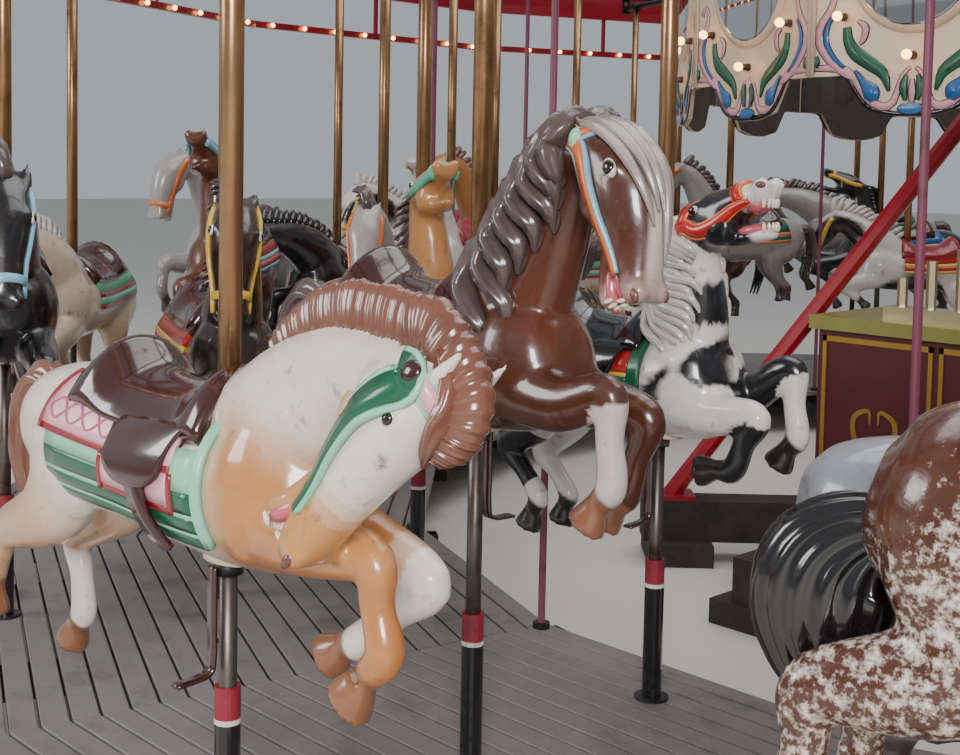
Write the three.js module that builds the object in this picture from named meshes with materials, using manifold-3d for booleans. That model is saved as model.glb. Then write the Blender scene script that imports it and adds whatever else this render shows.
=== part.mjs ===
// A three-abreast fairground carousel: sixteen platform sections, each with a rank of three
// jumping horses on poles, turning round a braced centre mast with a band organ beside it.
// Millimetres, +Z up, origin on the ground under the mast. The row outside is at -Y.
import * as THREE from "three";
import { mergeVertices } from "three/addons/utils/BufferGeometryUtils.js";
import Module from "manifold-3d";

const wasm = await Module();
wasm.setup();

// Driving dimensions
const SECTIONS = 16;
const SECTION_ANGLE = (2 * Math.PI) / SECTIONS;
const HALF_SECTION = SECTION_ANGLE / 2;
const GAP = 0.3;

const PLATFORM_TOP = 300;
const INNER_CORNER = 3440;
const OUTER_CORNER = 5550;
const BOARD_THICKNESS = 40;
const JOIST_WIDTH = 60;
const JOIST_DEPTH = 95;
const JOIST_OFFSET = 430;
const HANGER_RADIUS = 13.5;
const HANGER_FROM_EDGE = 45;
const HANGER_FROM_SEAM = 26;
const JOIST_FROM_EDGE = 25;

const ROW_RADIUS = { outer: 5150, middle: 4390, inner: 3630 };
const ROW_SCALE = { outer: 1, middle: 0.97, inner: 0.9 };
const SLEEVE_RADIUS = 30.15;
const SLEEVE_BORE = 22.5;
const SLEEVE_HEIGHT = 430;
const LOWER_POLE_RADIUS = 21.5;
const UPPER_POLE_RADIUS = 27;
const POLE_SIDES = 8;
// Poles, sleeves and rods of the ranks with no slide of their own have fewer sides
const PLAIN_SIDES = 6;

// Height of the barrel's middle over the platform half way up the crank's stroke
const MEAN_BARREL = 1000;
const STROKE = 240;
// How far each jumper of the first rank is above that height, and the reverse in the next ranks
const RISE = { outer: -90, middle: 110, inner: -20 };

const SHAFT_Z = PLATFORM_TOP + 2950;
const SHAFT_RADIUS = 24;
const SHAFT_AHEAD = 110;
const GUIDE_RADIUS = 44;
const GUIDE_BORE = 28;
const GUIDE_HEIGHT = 110;
const SHAFT_PAST_BEARING = 40;
const BEARING_WIDTH = 60;
const CRANK_WIDTH = 40;
const BEARING_LENGTH = 30;
const BEARING_DROP = 40;
// Pieces of one node reach this far into each other where they are joined
const OVERLAP = 5;
const SPREADER = 70;
const SPREADER_END_GAP = 2;
const SPREADER_INNER = 3510;
const SPREADER_OUTER = 5330;

const SWEEP_BOTTOM = 3400;
const SWEEP_HEIGHT = 180;
const SWEEP_WIDTH = 90;
const HUB_RADIUS = 330;
const HUB_BOTTOM = SWEEP_BOTTOM - 55;
const HUB_ABOVE_SWEEPS = 25;
const HUB_SIDES = 32;
const SWEEP_IN_HUB = 25;

const RIM_CORNER = 5880;
const RIM_THICKNESS = 40;
// The sweeps stop just short of the rim's inner corners
const SWEEP_END = RIM_CORNER - RIM_THICKNESS - (SWEEP_WIDTH / 2) * Math.tan(HALF_SECTION) - GAP;
const RIM_BOTTOM = PLATFORM_TOP + 2900;
const LIGHT_RAIL_Z = PLATFORM_TOP + 2580;
const LIGHT_RAIL_SIZE = 45;
const RAIL_DROP_WIDTH = 30;
const RAIL_DROP_DEPTH = 20;

const CORNICE_CORNER = 2233;
const CORNICE_THICKNESS = 26;
const CORNICE_EDGE_BOTTOM = PLATFORM_TOP + 1974;
const CORNICE_LOBE_BOTTOM = PLATFORM_TOP + 1815;

const PAD_HEIGHT = 100;
const PAD_SIZE = 380;
const SILL_WIDTH = 180;
const SILL_REACH = 2330;
const MAST_RADIUS = 115;
const MAST_SIDES = 16;
const MAST_FLANGE_RADIUS = 190;
const MAST_FLANGE_HEIGHT = 40;
const MAST_COLLAR_RADIUS = 160;
const MAST_COLLAR_HEIGHT = 45;
const MAST_PIN_RADIUS = 60;
const PIN_CLEARANCE = 4;
const BRACE_RADIUS = 44.5;
const BRACE_FOOT = 2190;
const BRACE_HEAD_Z = PLATFORM_TOP + 2800;
const BRACE_PLATE_WIDTH = 170;
const BRACE_PLATE_LENGTH = 220;
const BRACE_PLATE_THICKNESS = 22;
const BRACE_CLAMP = 120;
const ORGAN_WIDTH = 1730;
const ORGAN_FRONT = 1360;
const ORGAN_DEPTH = 600;
const ORGAN_TOP = PLATFORM_TOP + 950;
const ORGAN_BOARD = 62;
const ORGAN_BOARD_OVERHANG = 35;
const ORGAN_BEARER_OFFSET = 640;
const ORGAN_BEARER_OUT = 2180;
const ORGAN_BEARER_IN = 700;
const PIPES_BEHIND_FRONT = 190;
const PIPE_CHEST_WIDTH = 1240;
const PIPE_CHEST_DEPTH = 120;
const PIPE_CHEST_HEIGHT = 55;
const PIPE_COUNT = 9;
const PIPE_RADIUS = 24;
const PIPE_FROM_END = 60;
const SHORTEST_PIPE = 130;
const TALLEST_PIPE = 320;

// Solids: a closed geometry becomes a solid that can be joined and cut
function solid(geometry) {
  const bare = geometry.index ? geometry.toNonIndexed() : geometry.clone();
  bare.deleteAttribute("normal");
  bare.deleteAttribute("uv");
  const merged = mergeVertices(bare, 1e-3);
  return new wasm.Manifold(
    new wasm.Mesh({
      numProp: 3,
      vertProperties: new Float32Array(merged.attributes.position.array),
      triVerts: new Uint32Array(merged.index.array),
    }),
  );
}

function bareGeometry(body) {
  const mesh = body.getMesh();
  const geometry = new THREE.BufferGeometry();
  geometry.setAttribute("position", new THREE.BufferAttribute(new Float32Array(mesh.vertProperties), 3));
  geometry.setIndex(new THREE.BufferAttribute(new Uint32Array(mesh.triVerts), 1));
  return geometry;
}

// Small faces are merged where no surface moves by more than the tolerance
const FLAT_TOLERANCE = 0.02;
function geometryOf(body, tolerance = FLAT_TOLERANCE) {
  return bareGeometry(solid(bareGeometry(body)).simplify(tolerance));
}

function united(geometries) {
  return geometries.map(solid).reduce((whole, next) => whole.add(next));
}

function joined(geometries) {
  return geometryOf(united(geometries));
}

// Basic shapes, each already in place
function box(x0, x1, y0, y1, z0, z1) {
  const geometry = new THREE.BoxGeometry(x1 - x0, y1 - y0, z1 - z0);
  return geometry.translate((x0 + x1) / 2, (y0 + y1) / 2, (z0 + z1) / 2);
}

function upright(radius, x, y, z0, z1, sides = POLE_SIDES) {
  const geometry = new THREE.CylinderGeometry(radius, radius, z1 - z0, sides);
  return geometry.rotateX(Math.PI / 2).translate(x, y, (z0 + z1) / 2);
}

function rodAlongY(radius, x, z, y0, y1, sides) {
  const geometry = new THREE.CylinderGeometry(radius, radius, y1 - y0, sides);
  return geometry.translate(x, (y0 + y1) / 2, z);
}

// A flat outline in the ground plane, standing from z0 to z1
function slab(points, z0, z1) {
  const shape = new THREE.Shape(points.map(([x, y]) => new THREE.Vector2(x, y)));
  return new THREE.ExtrudeGeometry(shape, { depth: z1 - z0, bevelEnabled: false }).translate(0, 0, z0);
}

// A point at a radius and at an angle round the mast; angle 0 is the first rank, at -Y
function around(radius, angle) {
  return [radius * Math.sin(angle), -radius * Math.cos(angle)];
}

function turned(geometry, angle) {
  return geometry.rotateZ(angle);
}

// A closed limb: rings of [x, y, z, half width across, half depth] joined in order.
// Each ring stands square to the way the limb runs there.
function limb(rings, sides) {
  const count = rings.length;
  const geometry = new THREE.CylinderGeometry(1, 1, count - 1, sides, count - 1);
  const position = geometry.attributes.position;
  const centres = rings.map(([x, y, z]) => new THREE.Vector3(x, y, z));
  const frames = centres.map((centre, i) => {
    const before = centres[Math.max(i - 1, 0)];
    const after = centres[Math.min(i + 1, count - 1)];
    const along = after.clone().sub(before).normalize();
    const side = new THREE.Vector3(0, 1, 0).addScaledVector(along, -along.y).normalize();
    return { side, deep: side.clone().cross(along) };
  });
  for (let i = 0; i < position.count; i++) {
    const ring = Math.round(position.getY(i) + (count - 1) / 2);
    const [, , , width, depth] = rings[ring];
    const { side, deep } = frames[ring];
    const point = centres[ring].clone();
    point.addScaledVector(side, position.getX(i) * width);
    point.addScaledVector(deep, position.getZ(i) * depth);
    position.setXYZ(i, point.x, point.y, point.z);
  }
  return geometry;
}

// Horses, in their own frame: +X ahead, +Y towards the mast, Z from the barrel's middle at the pole.
// One run goes from the tail's end over the rump and barrel; a neck and head run follows it.
const BODY = [
  [-735, 0, -300, 20, 25],
  [-790, 0, -110, 50, 55],
  [-690, 0, 70, 50, 55],
  [-570, 0, 25, 150, 150],
  [-330, 0, 0, 175, 178],
  [-40, 0, 0, 160, 170],
];
// Rings behind this place move back or ahead where a horse's rump is longer or shorter
const LOINS_X = -300;

// Neck and head runs, from the shoulder to the muzzle
const HEADS = {
  bowed: [
    [230, 0, 10, 145, 180],
    [385, -12, 240, 92, 150],
    [590, -60, 325, 78, 95],
    [800, -125, 318, 82, 82],
    [750, -155, 200, 86, 105],
    [605, -190, 40, 58, 74],
    [515, -205, -30, 46, 56],
  ],
  high: [
    [195, 0, 10, 142, 180],
    [285, -10, 300, 80, 130],
    [405, -35, 500, 72, 90],
    [540, -75, 480, 80, 92],
    [600, -92, 340, 62, 84],
    [618, -102, 205, 54, 66],
  ],
  thrown: [
    [115, 0, 10, 142, 178],
    [160, -20, 270, 76, 118],
    [185, -38, 430, 66, 80],
    [265, -46, 530, 70, 84],
    [370, -53, 555, 56, 84],
    [456, -58, 560, 50, 84],
  ],
  level: [
    [230, 0, 10, 142, 180],
    [380, 0, 270, 82, 125],
    [520, -10, 400, 68, 80],
    [640, -20, 335, 75, 82],
    [740, -30, 170, 48, 58],
  ],
};

// Which ring of each run is the poll, where the ears stand, and which rings a plain horse keeps
const POLL_RING = { bowed: 3, high: 2, thrown: 2, level: 2 };
const PLAIN_RINGS = {
  bowed: [0, 1, 3, 5],
  high: [0, 1, 3, 5],
  thrown: [0, 1, 3, 5],
  level: [0, 1, 2, 4],
};
// How far the faces of a plain and of a near horse may move when small ones are merged
const PLAIN_TOLERANCE = 8;
const NEAR_TOLERANCE = 3;

// Legs: root, knee or hock, fetlock and toe, each as x, share of the leg's side, z;
// in the order outer and inner foreleg, outer and inner hind leg
const FORE_SIDE = 95;
const HIND_SIDE = 100;
const FORE_SIZES = [[62, 78], [40, 44], [28, 30], [38, 36]];
const HIND_SIZES = [[70, 105], [38, 46], [27, 29], [36, 36]];
const FORE_TUCKED = [[130, 0.65, -40], [560, 1, -70], [590, 1, -230], [530, 1, -350]];
const FORE_FOLDED = [[130, 0.65, -50], [600, 1, -150], [430, 1, -240], [330, 1, -330]];
const HIND_TRAILING = [[-480, 0.8, -60], [-500, 1, -310], [-585, 1, -430], [-590, 1, -520]];
const HIND_GATHERED = [[-470, 0.8, -60], [-420, 1, -300], [-520, 1, -400], [-500, 1, -490]];
const USUAL_LEGS = [FORE_TUCKED, FORE_FOLDED, HIND_TRAILING, HIND_GATHERED];

// The horses that have their own build: how much longer the rump is, the neck and head, and the legs
const TAN = {
  longer: 130,
  head: "bowed",
  legs: [
    [[195, 0.7, -40], [605, 1, -42], [652, 1, -209], [545, 1, -318]],
    [[195, 0.7, -50], [590, 1, -141], [345, 1, -315], [240, 1, -360]],
    [[-560, 0.8, -50], [-885, 1, -290], [-980, 1, -440], [-990, 1, -530]],
    [[-560, 0.8, -60], [-880, 1, -340], [-850, 1, -560], [-930, 1, -640]],
  ],
};
const BROWN = {
  longer: 0,
  head: "high",
  legs: [
    [[170, 0.7, -40], [540, 1, -20], [558, 1, -247], [475, 1, -335]],
    [[170, 0.7, -50], [525, 1, -112], [450, 1, -321], [370, 1, -380]],
    HIND_TRAILING,
    HIND_GATHERED,
  ],
};
const PINTO = {
  longer: 0,
  head: "thrown",
  legs: [
    [[90, 0.65, -40], [445, 1, -58], [364, 1, -240], [245, 1, -240]],
    [[90, 0.65, -30], [444, 1, 75], [475, 1, -146], [404, 1, -222]],
    [[-440, 0.8, -60], [-600, 1, -300], [-445, 1, -475], [-500, 1, -575]],
    [[-440, 0.8, -60], [-615, 1, -350], [-480, 1, -505], [-525, 1, -590]],
  ],
};
const APPALOOSA = {
  longer: -140,
  head: "level",
  legs: [
    FORE_TUCKED,
    FORE_FOLDED,
    [[-380, 0.8, -60], [-605, 1, -240], [-635, 1, -440], [-600, 1, -530]],
    [[-370, 0.8, -60], [-555, 1, -320], [-565, 1, -450], [-540, 1, -550]],
  ],
};
const SILVER = { longer: 110, head: "high", legs: USUAL_LEGS };

function raised(rings, rise, scale) {
  return rings.map(([x, y, z, width, depth]) => [x, y, z + rise, width, depth].map((value) => value * scale));
}

function legRings(path, side, sizes) {
  return path.map(([x, share, z], i) => [x, side * share, z, ...sizes[i]]);
}

function fourLegs(legs) {
  const sides = [-FORE_SIDE, FORE_SIDE, -HIND_SIDE, HIND_SIDE];
  return legs.map((path, i) => legRings(path, sides[i], i < 2 ? FORE_SIZES : HIND_SIZES));
}

// One horse in full: the body, neck and head in one run, then ears and four legs
function horseParts({ longer, head, legs }, rise, scale) {
  const neck = HEADS[head];
  const poll = neck[POLL_RING[head]];
  const body = BODY.map(([x, ...rest]) => [x < LOINS_X ? x - longer : x, ...rest]);
  const ear = (side) => [
    [poll[0], poll[1] + side, poll[2] + 20, 26, 24],
    [poll[0] + 5, poll[1] + side * 1.2, poll[2] + 150, 6, 6],
  ];
  const place = (rings) => raised(rings, rise / scale, scale);
  const parts = [
    limb(place([...body, ...neck]), 8),
    limb(place(ear(38)), 3),
    limb(place(ear(-38)), 3),
    ...fourLegs(legs).map((rings) => limb(place(rings), 4)),
  ];
  return [geometryOf(united(parts), NEAR_TOLERANCE)];
}

// The same horse with fewer faces, for the ranks with no slide of their own
function plainHorseParts(head, rise, scale) {
  const neck = PLAIN_RINGS[head].map((i) => HEADS[head][i]);
  const place = (rings) => raised(rings, rise / scale, scale);
  const run = limb(place([BODY[0], BODY[2], BODY[3], BODY[4], ...neck]), 5);
  const legs = fourLegs(USUAL_LEGS).map((rings) => limb(place([rings[0], rings[1], rings[3]]), 3));
  return [geometryOf(united([run, ...legs]), PLAIN_TOLERANCE)];
}

// Where a jumper's barrel and pole ends stand, from its rise over the middle of the stroke
const POLE_FOOT_CLEARANCE = 12;
const POLE_CHANGE_BELOW_BARREL = 150;
function jumperHeights(rise) {
  const lowest = -STROKE / 2 - rise;
  return {
    barrel: PLATFORM_TOP + MEAN_BARREL + rise,
    poleFoot: PLATFORM_TOP + POLE_FOOT_CLEARANCE - lowest,
    poleTop: SHAFT_Z + GUIDE_HEIGHT / 2 + OVERLAP - lowest,
  };
}

function poleParts(row, rise) {
  const { barrel, poleFoot, poleTop } = jumperHeights(rise);
  const y = -ROW_RADIUS[row];
  const change = barrel - POLE_CHANGE_BELOW_BARREL * ROW_SCALE[row];
  return [
    upright(LOWER_POLE_RADIUS, 0, y, poleFoot, change + OVERLAP),
    upright(UPPER_POLE_RADIUS, 0, y, change, poleTop),
  ];
}

// A flat foot bar hung from a collar under the belly, on one side of the pole, turned out at its foot
const FOOT_BAR_SIDE = { outer: -1, middle: 1, inner: -1 };
const FOOT_BAR_REACH = 265;
const FOOT_BAR_TOE = 105;
const FOOT_BAR_THICKNESS = 8;
const COLLAR_RADIUS = 34;
const COLLAR_HEIGHT = 30;
const COLLAR_BELOW_BARREL = 195;
function footBarParts(row, rise) {
  const top = jumperHeights(rise).barrel - COLLAR_BELOW_BARREL * ROW_SCALE[row];
  const poleY = -ROW_RADIUS[row];
  const side = FOOT_BAR_SIDE[row];
  const half = 16;
  const near = SLEEVE_RADIUS + 8;
  const foot = top - FOOT_BAR_REACH;
  const bar = (from, to, z0, z1) => {
    const ys = [poleY + side * from, poleY + side * to].sort((a, b) => a - b);
    return box(-half, half, ys[0], ys[1], z0, z1);
  };
  return [
    upright(COLLAR_RADIUS, 0, poleY, top - COLLAR_HEIGHT, top),
    bar(LOWER_POLE_RADIUS - 2, near + FOOT_BAR_THICKNESS, top - COLLAR_HEIGHT, top - 6),
    bar(near, near + FOOT_BAR_THICKNESS, foot, top - 6),
    bar(near, near + FOOT_BAR_TOE, foot, foot + FOOT_BAR_THICKNESS),
  ];
}

// Crankshaft of one rank, slung under two spreaders between the sweeps
function crankshaftParts(ahead, sides) {
  const ends = [-SPREADER_OUTER - SHAFT_PAST_BEARING, -SPREADER_INNER + SHAFT_PAST_BEARING];
  const parts = [rodAlongY(SHAFT_RADIUS, ahead, SHAFT_Z, ends[0], ends[1], sides)];
  const top = SWEEP_BOTTOM - GAP;
  const wide = BEARING_WIDTH / 2;
  const deep = SPREADER / 2;
  for (const radius of [SPREADER_INNER, SPREADER_OUTER]) {
    const half = (radius - deep) * Math.tan(HALF_SECTION) - SPREADER_END_GAP;
    parts.push(box(-half, half, -radius - deep, -radius + deep, top - SPREADER, top));
    const [back, front] = [-radius - BEARING_LENGTH / 2, -radius + BEARING_LENGTH / 2];
    const bearingTop = top - SPREADER + OVERLAP;
    parts.push(box(ahead - wide, ahead + wide, back, front, SHAFT_Z - BEARING_DROP, bearingTop));
  }
  return parts;
}

// Each throw reaches back from the shaft to its pole's line
function crankThrow(radius) {
  const half = CRANK_WIDTH / 2;
  return box(0, SHAFT_AHEAD, -radius - half, -radius + half, SHAFT_Z - half, SHAFT_Z + half);
}

// With throws, and a bored guide over each pole that slides
function openCrankshaft() {
  const radii = Object.values(ROW_RADIUS);
  const guide = (wide, radius, high) => upright(wide, 0, -radius, SHAFT_Z - high / 2, SHAFT_Z + high / 2);
  const body = united([
    ...crankshaftParts(SHAFT_AHEAD, POLE_SIDES),
    ...radii.map(crankThrow),
    ...radii.map((radius) => guide(GUIDE_RADIUS, radius, GUIDE_HEIGHT)),
  ]);
  const bores = radii.map((radius) => solid(guide(GUIDE_BORE, radius, 2 * GUIDE_HEIGHT)));
  return geometryOf(bores.reduce((left, bore) => left.subtract(bore), body));
}

// Parts made at the mast's axis, moved out to their row
function inRow(parts, row) {
  return parts.map((part) => part.translate(0, -ROW_RADIUS[row], 0));
}

// Platform: two sections to a node, with joists below, hangers at the corners and pole sleeves
function platformPair(first) {
  const corner = (radius, k) => around(radius, (k - 0.5) * SECTION_ANGLE);
  const joint = GAP / 2 / INNER_CORNER;
  const start = (radius) => around(radius, (first - 0.5) * SECTION_ANGLE + joint);
  const end = (radius) => around(radius, (first + 1.5) * SECTION_ANGLE - joint);
  const outline = [
    start(OUTER_CORNER),
    corner(OUTER_CORNER, first + 1),
    end(OUTER_CORNER),
    end(INNER_CORNER),
    corner(INNER_CORNER, first + 1),
    start(INNER_CORNER),
  ];
  const bottom = PLATFORM_TOP - BOARD_THICKNESS;
  const parts = [slab(outline, bottom, PLATFORM_TOP)];
  const bores = [];
  const outerSide = OUTER_CORNER * Math.cos(HALF_SECTION) - JOIST_FROM_EDGE;
  const innerSide = INNER_CORNER * Math.cos(HALF_SECTION) + JOIST_FROM_EDGE;
  for (const k of [first, first + 1]) {
    const angle = k * SECTION_ANGLE;
    for (const x of [-JOIST_OFFSET, JOIST_OFFSET]) {
      const half = JOIST_WIDTH / 2;
      const joist = box(x - half, x + half, -outerSide, -innerSide, bottom - JOIST_DEPTH, bottom + OVERLAP);
      parts.push(turned(joist, angle));
    }
    const [x, y] = around(INNER_CORNER + HANGER_FROM_EDGE, -HALF_SECTION);
    const [low, high] = [PLATFORM_TOP - OVERLAP, SWEEP_BOTTOM - GAP];
    const hanger = upright(HANGER_RADIUS, x + HANGER_FROM_SEAM, y, low, high, PLAIN_SIDES);
    parts.push(turned(hanger, angle));
    for (const row of Object.keys(ROW_RADIUS)) {
      const open = isJumping(k);
      const top = PLATFORM_TOP + SLEEVE_HEIGHT;
      const sides = open ? POLE_SIDES : PLAIN_SIDES;
      const sleeve = upright(SLEEVE_RADIUS, 0, -ROW_RADIUS[row], low, top, sides);
      parts.push(turned(sleeve, angle));
      if (open) {
        bores.push(turned(upright(SLEEVE_BORE, 0, -ROW_RADIUS[row], PLATFORM_TOP, top + OVERLAP), angle));
      }
    }
  }
  return geometryOf(bores.reduce((left, bore) => left.subtract(solid(bore)), united(parts)));
}

// Ranks 1, 2 and 16 are the ones whose jumpers slide on their poles' lines
const JUMPING = [0, 1, SECTIONS - 1];
function isJumping(k) {
  return JUMPING.includes(k % SECTIONS);
}

// A rank with its horses, poles and crankshaft in one piece
const RANK_HEADS = ["level", "high", "bowed", "thrown"];
// The seventh rank's horses stand a little higher, so that no face meets a pole edge on
const RANK_LIFT = { 6: 3 };
function wholeRank(k) {
  const parts = crankshaftParts(0, PLAIN_SIDES);
  ["outer", "middle", "inner"].forEach((row, i) => {
    const phase = (k * 5 + i * 4) / 12;
    const rise = Math.round((STROKE / 2 - 10) * Math.sin(2 * Math.PI * phase));
    const scale = ROW_SCALE[row];
    const barrel = PLATFORM_TOP + MEAN_BARREL + rise + (RANK_LIFT[k] ?? 0);
    parts.push(...inRow(plainHorseParts(RANK_HEADS[(k + i) % 4], barrel, scale), row));
    const foot = PLATFORM_TOP + SLEEVE_HEIGHT + GAP;
    parts.push(upright(UPPER_POLE_RADIUS, 0, -ROW_RADIUS[row], foot, SHAFT_Z, PLAIN_SIDES));
  });
  return turned(joined(parts), k * SECTION_ANGLE);
}

// Sweeps: a hub turning on the mast's pin, with a timber out over each platform corner
function sweepFrame() {
  const top = SWEEP_BOTTOM + SWEEP_HEIGHT;
  const parts = [upright(HUB_RADIUS, 0, 0, HUB_BOTTOM, top + HUB_ABOVE_SWEEPS, HUB_SIDES)];
  for (let k = 0; k < SECTIONS; k++) {
    const half = SWEEP_WIDTH / 2;
    const arm = box(-half, half, -SWEEP_END, -HUB_RADIUS + SWEEP_IN_HUB, SWEEP_BOTTOM, top);
    parts.push(turned(arm, (k + 0.5) * SECTION_ANGLE));
  }
  const pinRoom = upright(MAST_PIN_RADIUS + PIN_CLEARANCE, 0, 0, 0, top + 200, MAST_SIDES);
  return geometryOf(united(parts).subtract(solid(pinRoom)));
}

// A straight-sided ring with a corner on each sweep
function ring(corner, thickness, z0, z1) {
  const points = (radius) =>
    Array.from({ length: SECTIONS }, (_, k) => around(radius, (k + 0.5) * SECTION_ANGLE));
  const shape = new THREE.Shape(points(corner).map(([x, y]) => new THREE.Vector2(x, y)));
  const hole = points(corner - thickness).map(([x, y]) => new THREE.Vector2(x, y));
  shape.holes.push(new THREE.Path(hole));
  return new THREE.ExtrudeGeometry(shape, { depth: z1 - z0, bevelEnabled: false }).translate(0, 0, z0);
}

// Outer rim: a fascia round the sweep ends with the lamp rail slung below it
function rim() {
  const parts = [ring(RIM_CORNER, RIM_THICKNESS, RIM_BOTTOM, SWEEP_BOTTOM + SWEEP_HEIGHT)];
  parts.push(ring(RIM_CORNER, LIGHT_RAIL_SIZE, LIGHT_RAIL_Z, LIGHT_RAIL_Z + LIGHT_RAIL_SIZE));
  for (let k = 0; k < SECTIONS; k++) {
    const y = RIM_CORNER * Math.cos(HALF_SECTION) - RIM_THICKNESS / 2;
    const [wide, deep] = [RAIL_DROP_WIDTH / 2, RAIL_DROP_DEPTH / 2];
    const drop = box(-wide, wide, -y - deep, -y + deep, LIGHT_RAIL_Z + OVERLAP, RIM_BOTTOM + OVERLAP);
    parts.push(turned(drop, k * SECTION_ANGLE));
  }
  return joined(parts);
}

// One cornice lobe seen from outside, hanging under the middle of a panel;
// its outline is given as shares of half the panel's width, with the heights
const LOBE_SHOULDER = 30;
function corniceLobe() {
  const half = CORNICE_CORNER * Math.sin(HALF_SECTION);
  const low = CORNICE_LOBE_BOTTOM;
  const oneSide = [
    [0.12, low],
    [0.42, low + LOBE_SHOULDER],
    [0.62, CORNICE_EDGE_BOTTOM + OVERLAP],
  ];
  const otherSide = oneSide.map(([share, z]) => [-share, z]).reverse();
  const outline = [...otherSide, ...oneSide];
  const shape = new THREE.Shape(outline.map(([share, z]) => new THREE.Vector2(share * half, z)));
  const lobe = new THREE.ExtrudeGeometry(shape, { depth: CORNICE_THICKNESS - 2, bevelEnabled: false });
  const side = CORNICE_CORNER * Math.cos(HALF_SECTION);
  return lobe.rotateX(Math.PI / 2).translate(0, -side + CORNICE_THICKNESS - 1, 0);
}

function cornice() {
  const wall = ring(CORNICE_CORNER, CORNICE_THICKNESS, CORNICE_EDGE_BOTTOM, SWEEP_BOTTOM - GAP);
  const lobes = Array.from({ length: SECTIONS }, (_, k) => turned(corniceLobe(), k * SECTION_ANGLE));
  return joined([wall, ...lobes]);
}

// Centre: crossed sills and organ bearers on concrete pads
function centreSills() {
  const half = SILL_WIDTH / 2;
  const padHalf = PAD_SIZE / 2;
  const padTop = PAD_HEIGHT + OVERLAP;
  const parts = [];
  for (const angle of [Math.PI / 4, -Math.PI / 4]) {
    parts.push(turned(box(-half, half, -SILL_REACH, SILL_REACH, PAD_HEIGHT, PLATFORM_TOP), angle));
  }
  for (let k = 0; k < 4; k++) {
    const pad = box(-padHalf, padHalf, -SILL_REACH + 20, -SILL_REACH + 330, 0, padTop);
    parts.push(turned(pad, (k + 0.5) * (Math.PI / 2)));
  }
  for (const x of [-ORGAN_BEARER_OFFSET, ORGAN_BEARER_OFFSET]) {
    parts.push(box(x - half, x + half, -ORGAN_BEARER_OUT, -ORGAN_BEARER_IN, PAD_HEIGHT + 1, PLATFORM_TOP));
    parts.push(box(x - padHalf, x + padHalf, -ORGAN_BEARER_OUT - 20, -ORGAN_BEARER_OUT + 280, 0, padTop));
  }
  return joined(parts);
}

// The mast: a foot flange on the sills, the post, a shoulder under the hub and a pin through it
function mast() {
  const shoulder = HUB_BOTTOM - GAP;
  const collarBottom = shoulder - MAST_COLLAR_HEIGHT;
  const flangeTop = PLATFORM_TOP + MAST_FLANGE_HEIGHT;
  const pinTop = SWEEP_BOTTOM + SWEEP_HEIGHT + 90;
  return joined([
    upright(MAST_FLANGE_RADIUS, 0, 0, PLATFORM_TOP + GAP, flangeTop, MAST_SIDES),
    upright(MAST_RADIUS, 0, 0, flangeTop - OVERLAP, collarBottom + OVERLAP, MAST_SIDES),
    upright(MAST_COLLAR_RADIUS, 0, 0, collarBottom, shoulder, MAST_SIDES),
    upright(MAST_PIN_RADIUS, 0, 0, shoulder - OVERLAP, pinTop, MAST_SIDES),
  ]);
}

// A red tube from a plate on the sill up to a clamp on the mast, cut level at its foot
function brace(quarter) {
  const angle = (quarter + 0.5) * (Math.PI / 2);
  const foot = new THREE.Vector3(0, -BRACE_FOOT, PLATFORM_TOP + 14);
  const head = new THREE.Vector3(0, -MAST_RADIUS - 30, BRACE_HEAD_Z);
  const run = head.clone().sub(foot);
  const tube = new THREE.CylinderGeometry(BRACE_RADIUS, BRACE_RADIUS, run.length(), POLE_SIDES);
  const lean = new THREE.Quaternion().setFromUnitVectors(new THREE.Vector3(0, 1, 0), run.clone().normalize());
  tube.applyQuaternion(lean);
  tube.translate(0, (foot.y + head.y) / 2, (foot.z + head.z) / 2);
  const [wide, long] = [BRACE_PLATE_WIDTH / 2, BRACE_PLATE_LENGTH / 2];
  const bottom = PLATFORM_TOP + GAP;
  const plateTop = bottom + BRACE_PLATE_THICKNESS;
  const plate = box(-wide, wide, -BRACE_FOOT - long, -BRACE_FOOT + long, bottom, plateTop);
  const half = BRACE_CLAMP / 2;
  const clampInner = -MAST_RADIUS - GAP - 2;
  const clamp = box(-half, half, -MAST_RADIUS - 80, clampInner, BRACE_HEAD_Z - half, BRACE_HEAD_Z + half);
  const below = box(-300, 300, -BRACE_FOOT - 300, -BRACE_FOOT + 300, -200, bottom);
  const mastRoom = upright(MAST_RADIUS + GAP, 0, 0, BRACE_HEAD_Z - 400, BRACE_HEAD_Z + 300, MAST_SIDES);
  const body = united([tube, plate, clamp]).subtract(solid(below)).subtract(solid(mastRoom));
  return turned(geometryOf(body), angle);
}

// A row of pipes on a low chest, tallest in the middle
function organPipes() {
  const y = -ORGAN_FRONT + PIPES_BEHIND_FRONT;
  const base = ORGAN_TOP + GAP;
  const half = PIPE_CHEST_WIDTH / 2;
  const deep = PIPE_CHEST_DEPTH / 2;
  const parts = [box(-half, half, y - deep, y + deep, base, base + PIPE_CHEST_HEIGHT)];
  const middle = (PIPE_COUNT - 1) / 2;
  for (let i = 0; i < PIPE_COUNT; i++) {
    const share = (i - middle) / middle;
    const height = SHORTEST_PIPE + (TALLEST_PIPE - SHORTEST_PIPE) * (1 - share * share);
    const x = share * (half - PIPE_FROM_END);
    const top = base + PIPE_CHEST_HEIGHT + height;
    parts.push(upright(PIPE_RADIUS, x, y, base + PIPE_CHEST_HEIGHT - OVERLAP, top, PLAIN_SIDES));
  }
  return joined(parts);
}

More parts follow.
